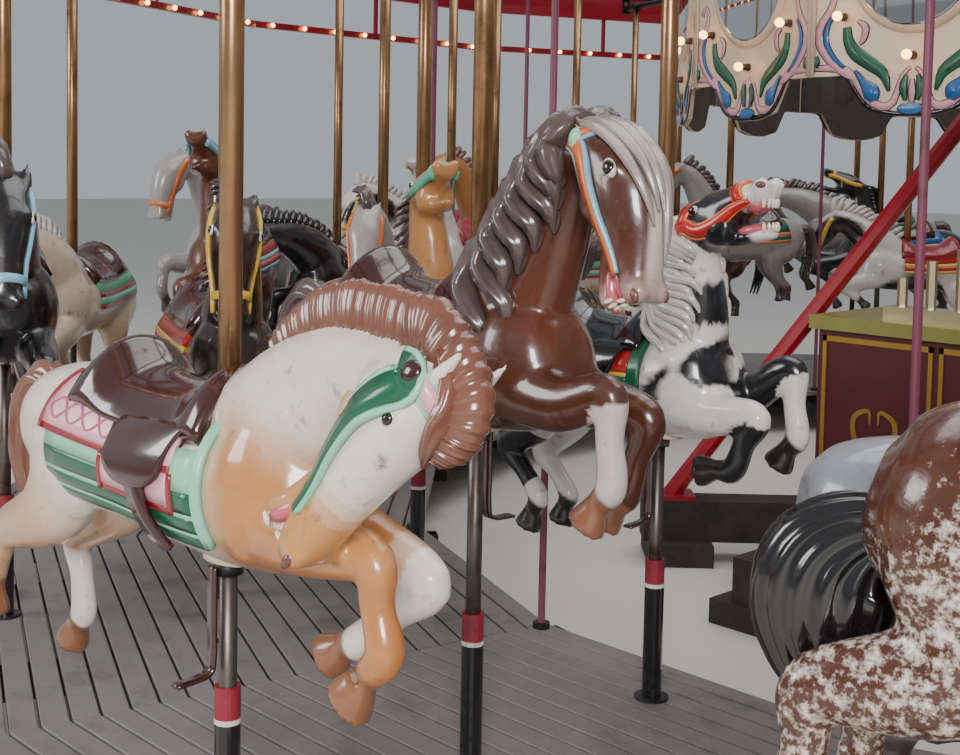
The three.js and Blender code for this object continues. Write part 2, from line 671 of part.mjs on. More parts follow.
// Materials
const PAINTED_BOARD = new THREE.MeshStandardMaterial({ color: "#6d6a68", roughness: 0.75, metalness: 0 });
const CRIMSON = new THREE.MeshStandardMaterial({ color: "#8a1420", roughness: 0.4, metalness: 0 });
const CREAM = new THREE.MeshStandardMaterial({ color: "#e9c7a6", roughness: 0.5, metalness: 0 });
const BRASS = new THREE.MeshStandardMaterial({ color: "#a9835a", roughness: 0.3, metalness: 0.9 });
const BLACK = new THREE.MeshStandardMaterial({ color: "#1c1a1a", roughness: 0.35, metalness: 0 });
const TIMBER = new THREE.MeshStandardMaterial({ color: "#3a2f28", roughness: 0.8, metalness: 0 });
const TAN_PAINT = new THREE.MeshStandardMaterial({ color: "#c98748", roughness: 0.25, metalness: 0 });
const BROWN_PAINT = new THREE.MeshStandardMaterial({ color: "#4a2718", roughness: 0.2, metalness: 0 });
const WHITE_PAINT = new THREE.MeshStandardMaterial({ color: "#d8d2cc", roughness: 0.3, metalness: 0 });
const GREY_PAINT = new THREE.MeshStandardMaterial({ color: "#77777a", roughness: 0.3, metalness: 0 });

const carousel = new THREE.Group();

function add(name, geometry, material, angle = 0) {
  const mesh = new THREE.Mesh(geometry, material);
  mesh.name = name;
  mesh.rotation.z = angle;
  carousel.add(mesh);
}

// The first rank: each horse is bored for its own pole
const FIRST_RANK = { outer: [TAN, TAN_PAINT], middle: [BROWN, BROWN_PAINT], inner: [PINTO, WHITE_PAINT] };
for (const [row, [horse, material]] of Object.entries(FIRST_RANK)) {
  const rise = RISE[row];
  const barrel = jumperHeights(rise).barrel;
  const y = -ROW_RADIUS[row];
  const body = united(inRow(horseParts(horse, barrel, ROW_SCALE[row]), row));
  const bore = solid(upright(UPPER_POLE_RADIUS + 2 * GAP, 0, y, PLATFORM_TOP, SHAFT_Z));
  add(`horse_1_${row}`, geometryOf(body.subtract(bore)), material);
  add(`pole_1_${row}`, joined([...poleParts(row, rise), ...footBarParts(row, rise)]), BRASS);
}

// The ranks ahead and behind: horse and pole in one piece, at the opposite height
const NEXT_HEADS = { outer: "level", middle: "high", inner: "thrown" };
const usualHorse = (row) => ({ longer: 0, head: NEXT_HEADS[row], legs: USUAL_LEGS });
const NEXT_RANKS = { [1]: { outer: APPALOOSA, middle: SILVER }, [SECTIONS - 1]: {} };
for (const [k, own] of Object.entries(NEXT_RANKS)) {
  for (const row of Object.keys(ROW_RADIUS)) {
    const rise = -RISE[row];
    const build = own[row] ?? usualHorse(row);
    const horse = inRow(horseParts(build, jumperHeights(rise).barrel, ROW_SCALE[row]), row);
    const whole = joined([...horse, ...poleParts(row, rise)]);
    add(`horse_${Number(k) + 1}_${row}`, whole, GREY_PAINT, k * SECTION_ANGLE);
  }
}

for (const k of JUMPING) {
  add(`crankshaft_${k + 1}`, openCrankshaft(), BLACK, k * SECTION_ANGLE);
}
for (let k = 2; k < SECTIONS - 1; k++) {
  add(`rank_${k + 1}`, wholeRank(k), k % 2 ? BROWN_PAINT : WHITE_PAINT);
}
for (let pair = 0; pair < SECTIONS / 2; pair++) {
  add(`platform_${pair + 1}`, platformPair(2 * pair), PAINTED_BOARD);
}

add("sweep_frame", sweepFrame(), TIMBER);
add("outer_rim", rim(), CRIMSON);
add("inner_cornice", cornice(), CREAM);

add("centre_sills", centreSills(), TIMBER);
add("centre_mast", mast(), TIMBER);
for (let quarter = 0; quarter < 4; quarter++) {
  add(`centre_brace_${quarter + 1}`, brace(quarter), CRIMSON);
}
const organHalf = ORGAN_WIDTH / 2;
const boardHalf = organHalf + ORGAN_BOARD_OVERHANG;
const organBack = -ORGAN_FRONT + ORGAN_DEPTH;
const caseTop = ORGAN_TOP - ORGAN_BOARD;
add(
  "organ_case",
  box(-organHalf, organHalf, -ORGAN_FRONT, organBack, PLATFORM_TOP + GAP, caseTop),
  CRIMSON,
);
add(
  "organ_top",
  box(-boardHalf, boardHalf, -ORGAN_FRONT - ORGAN_BOARD_OVERHANG, organBack, caseTop + GAP, ORGAN_TOP),
  BRASS,
);
add("organ_pipes", organPipes(), BRASS);

export default carousel;
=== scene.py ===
import bpy
import numpy as np
from mathutils import Matrix, Vector


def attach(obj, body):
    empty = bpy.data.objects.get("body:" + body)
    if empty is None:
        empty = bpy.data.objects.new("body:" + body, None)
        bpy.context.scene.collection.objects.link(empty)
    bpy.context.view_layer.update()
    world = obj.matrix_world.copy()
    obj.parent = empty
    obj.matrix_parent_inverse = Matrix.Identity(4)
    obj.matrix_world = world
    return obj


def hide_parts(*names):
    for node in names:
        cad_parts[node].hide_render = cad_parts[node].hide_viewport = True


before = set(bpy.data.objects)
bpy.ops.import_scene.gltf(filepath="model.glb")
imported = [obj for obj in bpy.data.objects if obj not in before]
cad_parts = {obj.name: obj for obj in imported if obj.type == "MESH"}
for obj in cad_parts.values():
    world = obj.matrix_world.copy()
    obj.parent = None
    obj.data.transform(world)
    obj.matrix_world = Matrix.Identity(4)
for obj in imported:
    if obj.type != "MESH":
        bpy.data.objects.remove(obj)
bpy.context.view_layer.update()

# Sizes shared with the CAD
SECTIONS = 16
STEP = 2 * np.pi / SECTIONS
PLATFORM_TOP = 0.300
INNER_CORNER = 3.440
OUTER_CORNER = 5.550
INNER_SIDE = INNER_CORNER * np.cos(STEP / 2)
OUTER_SIDE = OUTER_CORNER * np.cos(STEP / 2)
ROW_RADIUS = {"outer": 5.150, "middle": 4.390, "inner": 3.630}
ROW_SCALE = {"outer": 1.0, "middle": 0.97, "inner": 0.9}
ROWS = ["outer", "middle", "inner"]
# Mean height of a barrel's middle over the platform, and how far rank 1's horses stand from it in
# the photograph
MEAN_BARREL = 1.000
STROKE = 0.240
RISE = {"outer": -0.090, "middle": 0.110, "inner": -0.020}
FOOT_BAR_SIDE = {"outer": -1, "middle": 1, "inner": -1}
RIM_CORNER = 5.880
LIGHT_RAIL_Z = PLATFORM_TOP + 2.580
CORNICE_CORNER = 2.233
CORNICE_EDGE = PLATFORM_TOP + 1.974
LOBE_LOW = PLATFORM_TOP + 1.815
PANEL_TOP = 3.38
POST_TOP = 3.39
SLEEVE_HEIGHT = 0.430
SHAFT_Z = PLATFORM_TOP + 2.950
SWEEP_LOW = PLATFORM_TOP + 3.100

# Poles: steel from just over the platform at the lowest, brass up from the belly, and their radii
POLE_ABOVE_FLOOR = 0.012
POLE_TOP_OVER_LOW = 2.998
STEEL_RADIUS = 0.0205
FAR_STEEL_RADIUS = 0.0215
BRASS_RADIUS = 0.0262


# Colours and materials
def srgb(text):
    """A #rrggbb colour as the linear values the shader takes."""
    values = np.array([int(text[i:i + 2], 16) / 255 for i in (1, 3, 5)])
    linear = np.where(values <= 0.04045, values / 12.92, ((values + 0.055) / 1.055) ** 2.4)
    return [float(v) for v in linear]


def add_node(material, kind, **inputs):
    """One shader node with its inputs set by name, underscores standing for spaces."""
    node = material.node_tree.nodes.new(kind)
    for name, value in inputs.items():
        node.inputs[name.replace("_", " ")].default_value = value
    return node


def paint(name, colour, rough=0.35, metal=0.0, coat=0.0, wear=0.0, wear_colour="#2a2320", grain=0.06,
          bump=0.0, bump_scale=40.0, attribute=None, wear_scale=6.0, spread=0.0):
    """A painted or polished finish: a base colour (or a colour attribute) with slow mottling, darker
    worn patches where a broad noise runs high, and a fine bump. Spread lets the patches grow where
    the attribute's alpha is low."""
    material = bpy.data.materials.new(name)
    material.use_nodes = True
    links = material.node_tree.links
    shader = material.node_tree.nodes["Principled BSDF"]
    shader.inputs["Roughness"].default_value = rough
    shader.inputs["Metallic"].default_value = metal
    shader.inputs["Coat Weight"].default_value = coat
    shader.inputs["Coat Roughness"].default_value = 0.08
    place = add_node(material, "ShaderNodeTexCoord")
    mottle = add_node(material, "ShaderNodeTexNoise", Scale=9.0, Detail=4.0, Roughness=0.6)
    links.new(place.outputs["Object"], mottle.inputs["Vector"])
    shade = add_node(material, "ShaderNodeMapRange")
    shade.inputs["To Min"].default_value = 1.0 - 2 * grain
    shade.inputs["To Max"].default_value = 1.0 + 1.2 * grain
    links.new(mottle.outputs["Fac"], shade.inputs["Value"])
    scale = add_node(material, "ShaderNodeVectorMath")
    scale.operation = "SCALE"
    if attribute:
        source = add_node(material, "ShaderNodeAttribute")
        source.attribute_name = attribute
        links.new(source.outputs["Color"], scale.inputs[0])
    else:
        scale.inputs[0].default_value = srgb(colour)
    links.new(shade.outputs["Result"], scale.inputs["Scale"])
    base = scale.outputs["Vector"]
    if wear:
        patches = add_node(material, "ShaderNodeTexNoise", Scale=wear_scale, Detail=6.0, Roughness=0.7)
        links.new(place.outputs["Object"], patches.inputs["Vector"])
        edge = add_node(material, "ShaderNodeMapRange")
        edge.inputs["From Min"].default_value = 0.62 - 0.3 * wear
        edge.inputs["From Max"].default_value = 0.80 - 0.3 * wear
        height = patches.outputs["Fac"]
        if spread:
            grow = add_node(material, "ShaderNodeMath")
            grow.operation = "MULTIPLY_ADD"
            grow.inputs[1].default_value = -spread
            links.new(source.outputs["Alpha"], grow.inputs[0])
            links.new(height, grow.inputs[2])
            height = grow.outputs["Value"]
        links.new(height, edge.inputs["Value"])
        mix = add_node(material, "ShaderNodeMix")
        mix.data_type = "RGBA"
        mix.inputs["B"].default_value = srgb(wear_colour) + [1.0]
        links.new(edge.outputs["Result"], mix.inputs["Factor"])
        links.new(base, mix.inputs["A"])
        base = mix.outputs["Result"]
    links.new(base, shader.inputs["Base Color"])
    if bump:
        fine = add_node(material, "ShaderNodeTexNoise", Scale=bump_scale, Detail=3.0)
        links.new(place.outputs["Object"], fine.inputs["Vector"])
        raise_ = add_node(material, "ShaderNodeBump", Strength=bump, Distance=0.004)
        links.new(fine.outputs["Fac"], raise_.inputs["Height"])
        links.new(raise_.outputs["Normal"], shader.inputs["Normal"])
    return material


def glowing(name, colour, strength):
    """Frosted warm lamp glass, lit from inside."""
    material = bpy.data.materials.new(name)
    material.use_nodes = True
    shader = material.node_tree.nodes["Principled BSDF"]
    shader.inputs["Base Color"].default_value = srgb(colour) + [1.0]
    shader.inputs["Emission Color"].default_value = srgb(colour) + [1.0]
    shader.inputs["Emission Strength"].default_value = strength
    return material


COAT = paint("varnished horse paint", "#ffffff", rough=0.28, coat=0.6, grain=0.08, attribute="coat",
             bump=0.12, bump_scale=60, wear=0.12, wear_colour="#6b4a34", wear_scale=14)
CRACKLED = paint("crackled horse paint", "#ffffff", rough=0.22, coat=0.6, grain=0.1, attribute="coat",
                 bump=0.2, bump_scale=90, wear=0.55, wear_colour="#d9cdbf", wear_scale=60, spread=0.26)
BROWN_LEATHER = paint("dark brown saddle paint", "#3a1712", rough=0.18, coat=0.8, grain=0.12, bump=0.08)
BLACK_GLOSS = paint("black gloss paint", "#121013", rough=0.16, coat=0.8, grain=0.2, bump=0.05)
MINT = paint("mint paint", "#5fb08f", rough=0.35, coat=0.3, bump=0.05)
LIGHT_MINT = paint("light mint paint", "#8fd0b0", rough=0.35, coat=0.3)
GREEN = paint("dark green paint", "#0f5a3c", rough=0.3, coat=0.4, bump=0.05)
PINK = paint("pink paint", "#b5597f", rough=0.35, coat=0.3)
PALE_PINK = paint("pale pink paint", "#e5a9b5", rough=0.35, coat=0.3)
CRIMSON = paint("crimson gloss paint", "#8e1322", rough=0.3, coat=0.5, grain=0.1, bump=0.05)
RED = paint("bright red paint", "#b3201c", rough=0.3, coat=0.4)
ORANGE = paint("orange paint", "#d4682a", rough=0.3, coat=0.4)
SKY = paint("light blue paint", "#7fb4c8", rough=0.3, coat=0.4)
YELLOW = paint("yellow paint", "#d8ad3a", rough=0.3, coat=0.3)
CREAM = paint("cream paint", "#e6cdb0", rough=0.4, coat=0.2, grain=0.05, bump=0.05)
ROSE_CREAM = paint("pink cream paint", "#dfae98", rough=0.4, coat=0.2, grain=0.05)
PANEL_GREY = paint("grey panel backs", "#77716b", rough=0.7, wear=0.2)
LEAF = paint("leaf green paint", "#2f6f52", rough=0.35, coat=0.2)
BLUE = paint("blue paint", "#2f6fae", rough=0.3, coat=0.3)
BRASS = paint("worn brass", "#a07c58", rough=0.28, metal=0.8, grain=0.12, wear=0.25,
              wear_colour="#6d4c33", bump=0.05)
STEEL = paint("worn steel", "#6f655f", rough=0.38, metal=0.8, grain=0.15, wear=0.35,
              wear_colour="#4a2f25", bump=0.1)
MAUVE = paint("mauve painted rod", "#7d3f55", rough=0.4, wear=0.25, wear_colour="#4a2a30")
WHITE_BAND = paint("white band", "#d8d4cf", rough=0.5, wear=0.3)
RED_BAND = paint("red band", "#8f2432", rough=0.45, wear=0.3, wear_colour="#3d1a1c")
BLACK_IRON = paint("black painted iron", "#17161a", rough=0.45, wear=0.3, wear_colour="#4a4442")
BOARD = paint("grey deck paint", "#77716f", rough=0.62, grain=0.12, wear=0.3, wear_colour="#565050",
              bump=0.35, bump_scale=30, wear_scale=3)
BEAM = paint("dark joist timber", "#2c2622", rough=0.85, grain=0.2, bump=0.4)
TIMBER = paint("dark tarred timber", "#3a2f28", rough=0.8, grain=0.25, wear=0.3,
               wear_colour="#1d1815", bump=0.5)
RED_STEEL = paint("red brace paint", "#9c1526", rough=0.28, coat=0.5, grain=0.1)
ORGAN_RED = paint("dark red organ case", "#4f1119", rough=0.45, grain=0.15, bump=0.1)
GOLD = paint("gold paint", "#b08a3e", rough=0.35, metal=0.7, grain=0.12)
GILT_BOARD = paint("green gold board", "#8f8a4a", rough=0.4, metal=0.4, grain=0.12)
PIPE = paint("tin organ pipes", "#b9ab8a", rough=0.3, metal=0.8)
MIRROR = paint("silvered mirror", "#c9cfd2", rough=0.05, metal=1.0, grain=0.02)
TEETH = paint("ivory teeth", "#e8dfc8", rough=0.3, coat=0.5)
NOSTRIL = paint("dark nostril", "#6b403c", rough=0.35, coat=0.4)
TONGUE = paint("pink tongue", "#c8606a", rough=0.25, coat=0.6)
EYE_WHITE = paint("eye white", "#d9cfc2", rough=0.15, coat=0.8)
EYE_DARK = paint("dark glass eye", "#150b08", rough=0.05, coat=1.0)
MANE_BROWN = paint("brown pink carved mane", "#7a4d3c", rough=0.22, coat=0.6, grain=0.3)
MANE_GREY = paint("grey brown carved mane", "#5b4d49", rough=0.25, coat=0.5, grain=0.25)
FORELOCK_GREY = paint("pale carved forelock", "#a3968e", rough=0.3, coat=0.5, grain=0.2)
MANE_WHITE = paint("white carved mane", "#c9c2bc", rough=0.3, coat=0.5, grain=0.2)
MANE_BLACK = paint("black carved mane", "#141214", rough=0.18, coat=0.7, grain=0.3)
BULB = glowing("warm lamp glass", "#ffb765", 9.0)


# Meshes
def mesh_object(name, points, faces, materials, indices=None, smooth=True):
    """One mesh object from an array of points and a list of face arrays, with a material number for
    each face."""
    mesh = bpy.data.meshes.new(name)
    faces = [np.asarray(block, int) for block in faces if len(block)]
    sizes = np.concatenate([np.full(len(block), block.shape[1]) for block in faces])
    corners = np.concatenate([block.ravel() for block in faces])
    mesh.vertices.add(len(points))
    mesh.vertices.foreach_set("co", np.asarray(points, float).ravel())
    mesh.loops.add(len(corners))
    mesh.loops.foreach_set("vertex_index", corners)
    mesh.polygons.add(len(sizes))
    mesh.polygons.foreach_set("loop_start", np.concatenate([[0], np.cumsum(sizes)[:-1]]))
    mesh.polygons.foreach_set("loop_total", sizes)
    for material in materials:
        mesh.materials.append(material)
    if indices is not None:
        mesh.polygons.foreach_set("material_index", np.asarray(indices, int))
    mesh.polygons.foreach_set("use_smooth", np.full(len(sizes), smooth))
    mesh.update(calc_edges=True)
    mesh.validate()
    obj = bpy.data.objects.new(name, mesh)
    bpy.context.scene.collection.objects.link(obj)
    return obj


class Heap:
    """Collects many small closed pieces, each with its own material, into one mesh object."""

    def __init__(self):
        self.points = []
        self.quads = []
        self.tris = []
        self.quad_materials = []
        self.tri_materials = []
        self.materials = []
        self.count = 0

    def number(self, material):
        """The place of a material in the list, which grows when it is new."""
        if material not in self.materials:
            self.materials.append(material)
        return self.materials.index(material)

    def add(self, points, faces, material):
        """faces is a list of index arrays; a width of 4 or 3 sets where they go."""
        number = self.number(material)
        for block in faces:
            block = np.asarray(block, int)
            if len(block) == 0:
                continue
            quads = block.shape[1] == 4
            (self.quads if quads else self.tris).append(block + self.count)
            (self.quad_materials if quads else self.tri_materials).append(np.full(len(block), number))
        self.points.append(np.asarray(points, float))
        self.count += len(points)

    def add_turned(self, piece, angle, material):
        """A piece, as points and faces, turned about the mast by an angle."""
        points, faces = piece
        self.add(turned(points, angle), faces, material)

    def build(self, name, smooth=True):
        """The heap as one mesh object."""
        blocks = [np.concatenate(group) for group in (self.quads, self.tris) if group]
        indices = np.concatenate(self.quad_materials + self.tri_materials)
        return mesh_object(name, np.concatenate(self.points), blocks, self.materials, indices, smooth)


def unit_rows(vectors):
    """Each row of an array as a vector of length 1."""
    return vectors / np.linalg.norm(vectors, axis=1)[:, None]


def turned(points, angle):
    """Points turned about the mast by an angle."""
    c, s = np.cos(angle), np.sin(angle)
    x, y, z = points[..., 0], points[..., 1], points[..., 2]
    return np.stack([c * x - s * y, s * x + c * y, z], -1)


def in_rank(points, row, k, lift=0.0):
    """Points in a row's own axes (x ahead, y in, z over the platform) put in the world for rank k."""
    moved = points + np.array([0.0, -ROW_RADIUS[row], PLATFORM_TOP + lift])
    return turned(moved, k * STEP)


def box_mesh(low, high):
    """An upright box between two corners."""
    x0, y0, z0 = low
    x1, y1, z1 = high
    points = np.array([[x, y, z] for z in (z0, z1) for y in (y0, y1) for x in (x0, x1)], float)
    faces = np.array([
        [0, 2, 3, 1], [4, 5, 7, 6], [0, 1, 5, 4], [2, 6, 7, 3], [0, 4, 6, 2], [1, 3, 7, 5],
    ])
    return points, [faces]


def spline(rows, count):
    """A smooth run through the rows: Catmull-Rom, count samples spread evenly over the spans."""
    rows = np.asarray(rows, float)
    padded = np.vstack([2 * rows[0] - rows[1], rows, 2 * rows[-1] - rows[-2]])
    where = np.linspace(0, len(rows) - 1, count)
    span = np.minimum(where.astype(int), len(rows) - 2)
    t = (where - span)[:, None]
    a, b, c, d = (padded[span + i] for i in range(4))
    square = (2 * a - 5 * b + 4 * c - d) * t ** 2
    cube = (3 * b - a - 3 * c + d) * t ** 3
    return 0.5 * (2 * b + (c - a) * t + square + cube)


class Run:
    """A tapering run: rings of x, y, z, half width, height over and depth under the centre line.
    The side of each ring is as near +Y as the run's direction allows."""

    def __init__(self, rings, count=40):
        rings = np.asarray(rings, float)
        if rings.shape[1] == 5:
            rings = np.hstack([rings, rings[:, 4:5]])
        self.rings = spline(rings, count)
        self.count = count
        centre = self.rings[:, :3]
        along = unit_rows(np.gradient(centre, axis=0))
        side = unit_rows(np.array([0.0, 1.0, 0.0]) - along * along[:, 1:2])
        self.along, self.side, self.over = along, side, np.cross(along, side)

    def frame_at(self, s):
        """Ring values and axes at shares s (0 to 1) of the run."""
        where = np.clip(np.asarray(s, float), 0, 1) * (self.count - 1)
        low = np.minimum(where.astype(int), self.count - 2)
        t = (where - low)[..., None]
        pick = lambda table: table[low] * (1 - t) + table[low + 1] * t
        return pick(self.rings), pick(self.side), pick(self.over)

    def at(self, s, angle, out=0.0):
        """Surface points at share s and an angle from the top (0) towards -Y, moved out from it."""
        ring, side, over = self.frame_at(s)
        angle = np.asarray(angle, float)
        up = np.cos(angle)
        height = np.where(up >= 0, ring[..., 4], ring[..., 5])
        wide = (ring[..., 3] + out) * -np.sin(angle)
        tall = (height + out) * up
        return ring[..., :3] + side * wide[..., None] + over * tall[..., None]

    def mesh(self, sides=16):
        """The whole closed surface: a ring of points at each station and a fan at each end."""
        s = np.linspace(0, 1, self.count)[:, None]
        angle = np.linspace(0, 2 * np.pi, sides, endpoint=False)[None, :]
        grid = self.at(s + 0 * angle, angle + 0 * s).reshape(-1, 3)
        return closed_tube(grid, self.count, sides)


def closed_tube(grid, count, sides):
    """Quads round a grid of rings, with a centre point and a fan at both ends."""
    i = np.arange(count - 1)[:, None] * sides
    j = np.arange(sides)[None, :]
    k = (j + 1) % sides
    quads = np.stack([i + j, i + k, i + k + sides, i + j + sides], -1).reshape(-1, 4)
    ends = np.array([grid[:sides].mean(0), grid[-sides:].mean(0)])
    first, last = count * sides, count * sides + 1
    j = np.arange(sides)
    k = (j + 1) % sides
    top = (count - 1) * sides
    fans = np.vstack([
        np.stack([np.full(sides, first), k, j], -1),
        np.stack([np.full(sides, last), top + j, top + k], -1),
    ])
    return np.vstack([grid, ends]), [quads, fans]


def ball(centre, radii, rows=8, sides=12, tilt=None):
    """An ellipsoid: rings between the two poles, turned by the matrix tilt."""
    polar = np.linspace(0.12, np.pi - 0.12, rows)[:, None]
    angle = np.linspace(0, 2 * np.pi, sides, endpoint=False)[None, :]
    flat = np.sin(polar)
    grid = np.stack([flat * np.cos(angle), flat * np.sin(angle), np.cos(polar) + 0 * angle], -1)
    grid = grid.reshape(-1, 3) * radii
    if tilt is not None:
        grid = grid @ np.asarray(tilt).T
    return closed_tube(grid + centre, rows, sides)


def rod(start, end, radius, sides=12, end_radius=None):
    """A straight round bar between two points."""
    start, end = np.asarray(start, float), np.asarray(end, float)
    along = (end - start) / np.linalg.norm(end - start)
    aside = np.cross(along, [0, 0, 1.0] if abs(along[2]) < 0.9 else [1.0, 0, 0])
    aside /= np.linalg.norm(aside)
    other = np.cross(along, aside)
    angle = np.linspace(0, 2 * np.pi, sides, endpoint=False)[:, None]
    circle = np.cos(angle) * aside + np.sin(angle) * other
    grid = np.vstack([start + circle * radius, end + circle * (end_radius or radius)])
    return closed_tube(grid, 2, sides)


# The carved horses, in millimetres from the middle of the barrel on the pole's line.
# Each ring: x, y, z, half width, height over and depth under the centre line
BODY = [
    (-700, 0, 50, 42, 45, 50),
    (-655, 0, 40, 118, 108, 125),
    (-560, 0, 26, 166, 150, 172),
    (-420, 0, 12, 180, 164, 182),
    (-240, 0, -2, 166, 152, 172),
    (-60, 0, -8, 162, 158, 176),
    (120, 0, 0, 165, 168, 184),
    (260, 0, 14, 154, 172, 178),
    (350, 0, 32, 122, 144, 146),
    (398, 0, 44, 66, 84, 86),
]
# Behind the loins and ahead of the shoulder the rings are stretched to a horse's own rump and chest
LOINS_X = -240
SHOULDER_X = 120

NECKS = {
    "bowed": [
        (120, 0, 80, 118, 165, 190), (262, -6, 176, 110, 150, 168), (385, -20, 240, 98, 128, 142),
        (500, -42, 284, 88, 104, 112), (610, -68, 308, 80, 80, 94), (715, -95, 322, 76, 64, 90),
    ],
    "high": [
        (90, 0, 95, 120, 160, 190), (175, 0, 220, 104, 132, 160), (245, -6, 330, 90, 112, 130),
        (300, -16, 430, 80, 96, 110), (360, -30, 515, 76, 74, 96),
    ],
    "thrown": [
        (80, 0, 95, 118, 160, 180), (125, -10, 220, 98, 128, 140), (140, -22, 335, 82, 100, 110),
        (145, -34, 430, 74, 78, 92),
    ],
    "level": [
        (110, 0, 88, 118, 160, 190), (230, 0, 190, 104, 150, 168), (365, 0, 290, 90, 118, 138),
        (475, -8, 370, 80, 88, 112), (560, -16, 412, 76, 66, 96),
    ],
}
# From the poll to the muzzle
HEADS = {
    "bowed": [
        (802, -118, 318, 74, 58, 92), (798, -134, 284, 84, 70, 116), (752, -152, 230, 87, 74, 124),
        (694, -168, 166, 75, 66, 104), (634, -183, 96, 60, 58, 74), (590, -193, 44, 58, 54, 60),
        (552, -200, 0, 58, 48, 50), (524, -205, -30, 42, 32, 34),
    ],
    "high": [
        (432, -46, 548, 74, 62, 86), (506, -64, 526, 84, 78, 112), (560, -80, 458, 85, 98, 116),
        (590, -89, 388, 76, 88, 104), (606, -95, 318, 62, 76, 66), (620, -99, 262, 60, 60, 38),
        (632, -102, 222, 58, 46, 32), (638, -103, 196, 42, 32, 24),
    ],
    "thrown": [
        (170, -43, 498, 73, 64, 84), (216, -47, 520, 77, 78, 94), (275, -51, 554, 74, 82, 84),
        (335, -54, 592, 60, 56, 54), (390, -57, 612, 52, 42, 38), (436, -59, 622, 52, 36, 34),
        (464, -60, 622, 40, 26, 26),
    ],
    "level": [
        (610, -20, 400, 76, 62, 86), (665, -25, 345, 84, 70, 112), (705, -28, 275, 76, 66, 106),
        (740, -30, 200, 60, 56, 78), (765, -31, 140, 55, 50, 58), (778, -32, 96, 54, 44, 50),
        (782, -32, 66, 38, 28, 32),
    ],
}
# Lower jaws of the horses with an open mouth, from the cheek to the chin
JAWS = {
    "bowed": [
        (640, -168, 168, 46, 36, 40), (572, -182, 112, 38, 28, 30), (512, -196, 74, 34, 24, 22),
        (474, -204, 56, 32, 22, 20), (458, -207, 48, 22, 14, 14),
    ],
    "high": [
        (552, -84, 372, 48, 40, 42), (542, -90, 300, 40, 24, 30), (538, -97, 236, 36, 18, 24),
        (544, -101, 196, 36, 18, 20), (550, -102, 180, 26, 14, 14),
    ],
    "thrown": [
        (236, -50, 492, 50, 40, 48), (310, -54, 478, 38, 30, 30), (380, -57, 486, 34, 24, 22),
        (440, -59, 496, 37, 22, 20), (470, -60, 500, 28, 15, 14),
    ],
}

# Where each eye sits: its share along the head, its distance aside and over the centre line
EYES = {
    "bowed": (0.31, 70, 16), "high": (0.35, 66, 40), "thrown": (0.32, 58, 42), "level": (0.34, 64, 30),
}

# Leg paths: root, elbow or stifle, knee or hock, fetlock, toe; the second value is the share of the
# leg's side. The sizes of its rings are half widths and half depths
FORE_TUCKED = [(140, 0.7, -40), (350, 0.95, -80), (565, 1.0, -64), (600, 1.0, -220), (530, 1.0, -325)]
FORE_FOLDED = [(140, 0.7, -50), (390, 0.95, -115), (600, 1.0, -145), (440, 1.0, -235), (345, 1.0, -310)]
HIND_TRAILING = [(-470, 0.75, -40), (-440, 1.0, -190), (-500, 1.0, -315), (-575, 1.0, -425),
                 (-595, 1.0, -500)]
HIND_GATHERED = [(-460, 0.75, -40), (-370, 1.0, -180), (-425, 1.0, -300), (-520, 1.0, -395),
                 (-515, 1.0, -475)]
USUAL_LEGS = [FORE_TUCKED, FORE_FOLDED, HIND_TRAILING, HIND_GATHERED]
FORE_SIZES = [(70, 95), (60, 72), (44, 50), (33, 37), (38, 40), (29, 32)]
HIND_SIZES = [(92, 150), (76, 96), (44, 56), (30, 37), (36, 39), (29, 31)]
LEG_SIDES = (-95, 95, -100, 100)

# How each horse is built: the ends of rump and chest, the neck and head, the legs in the order
# outer and inner foreleg, outer and inner hind leg
BUILDS = {
    "tan": (-830, 398, "bowed", [
        [(150, 0.7, -40), (390, 0.95, -52), (605, 1.0, -42), (652, 1.0, -209), (556, 1.0, -305)],
        [(150, 0.7, -50), (395, 0.95, -95), (562, 1.0, -138), (352, 1.0, -306), (256, 1.0, -352)],
        [(-540, 0.75, -40), (-640, 1.0, -190), (-880, 1.0, -288), (-972, 1.0, -430), (-985, 1.0, -515)],
        [(-540, 0.75, -50), (-650, 1.0, -200), (-876, 1.0, -338), (-852, 1.0, -548), (-915, 1.0, -625)],
    ]),
    "brown": (-700, 345, "high", [
        [(140, 0.7, -40), (380, 0.95, -70), (536, 1.0, -26), (556, 1.0, -240), (484, 1.0, -325)],
        [(140, 0.7, -50), (375, 0.95, -90), (506, 1.0, -112), (446, 1.0, -310), (380, 1.0, -366)],
        HIND_TRAILING,
        HIND_GATHERED,
    ]),
    "pinto": (-660, 290, "thrown", [
        [(70, 0.7, -30), (250, 0.95, -75), (444, 1.0, -60), (366, 1.0, -236), (262, 1.0, -245)],
        [(70, 0.7, -20), (260, 0.95, -40), (442, 1.0, 70), (472, 1.0, -140), (408, 1.0, -215)],
        [(-430, 0.75, -40), (-470, 1.0, -190), (-596, 1.0, -300), (-448, 1.0, -470), (-495, 1.0, -560)],
        [(-430, 0.75, -50), (-480, 1.0, -200), (-610, 1.0, -348), (-484, 1.0, -500), (-522, 1.0, -580)],
    ]),
    "appaloosa": (-545, 398, "level", [
        FORE_TUCKED,
        FORE_FOLDED,
        [(-360, 0.75, -60), (-420, 1.0, -205), (-605, 1.0, -258), (-634, 1.0, -430), (-602, 1.0, -515)],
        [(-350, 0.75, -50), (-400, 1.0, -190), (-552, 1.0, -318), (-564, 1.0, -445), (-542, 1.0, -535)],
    ]),
    "silver": (-810, 345, "high", USUAL_LEGS),
    "level": (-700, 398, "level", USUAL_LEGS),
    "high": (-700, 345, "high", USUAL_LEGS),
    "bowed": (-700, 398, "bowed", USUAL_LEGS),
    "thrown": (-700, 300, "thrown", USUAL_LEGS),
    "short": (-570, 300, "thrown", USUAL_LEGS),
}


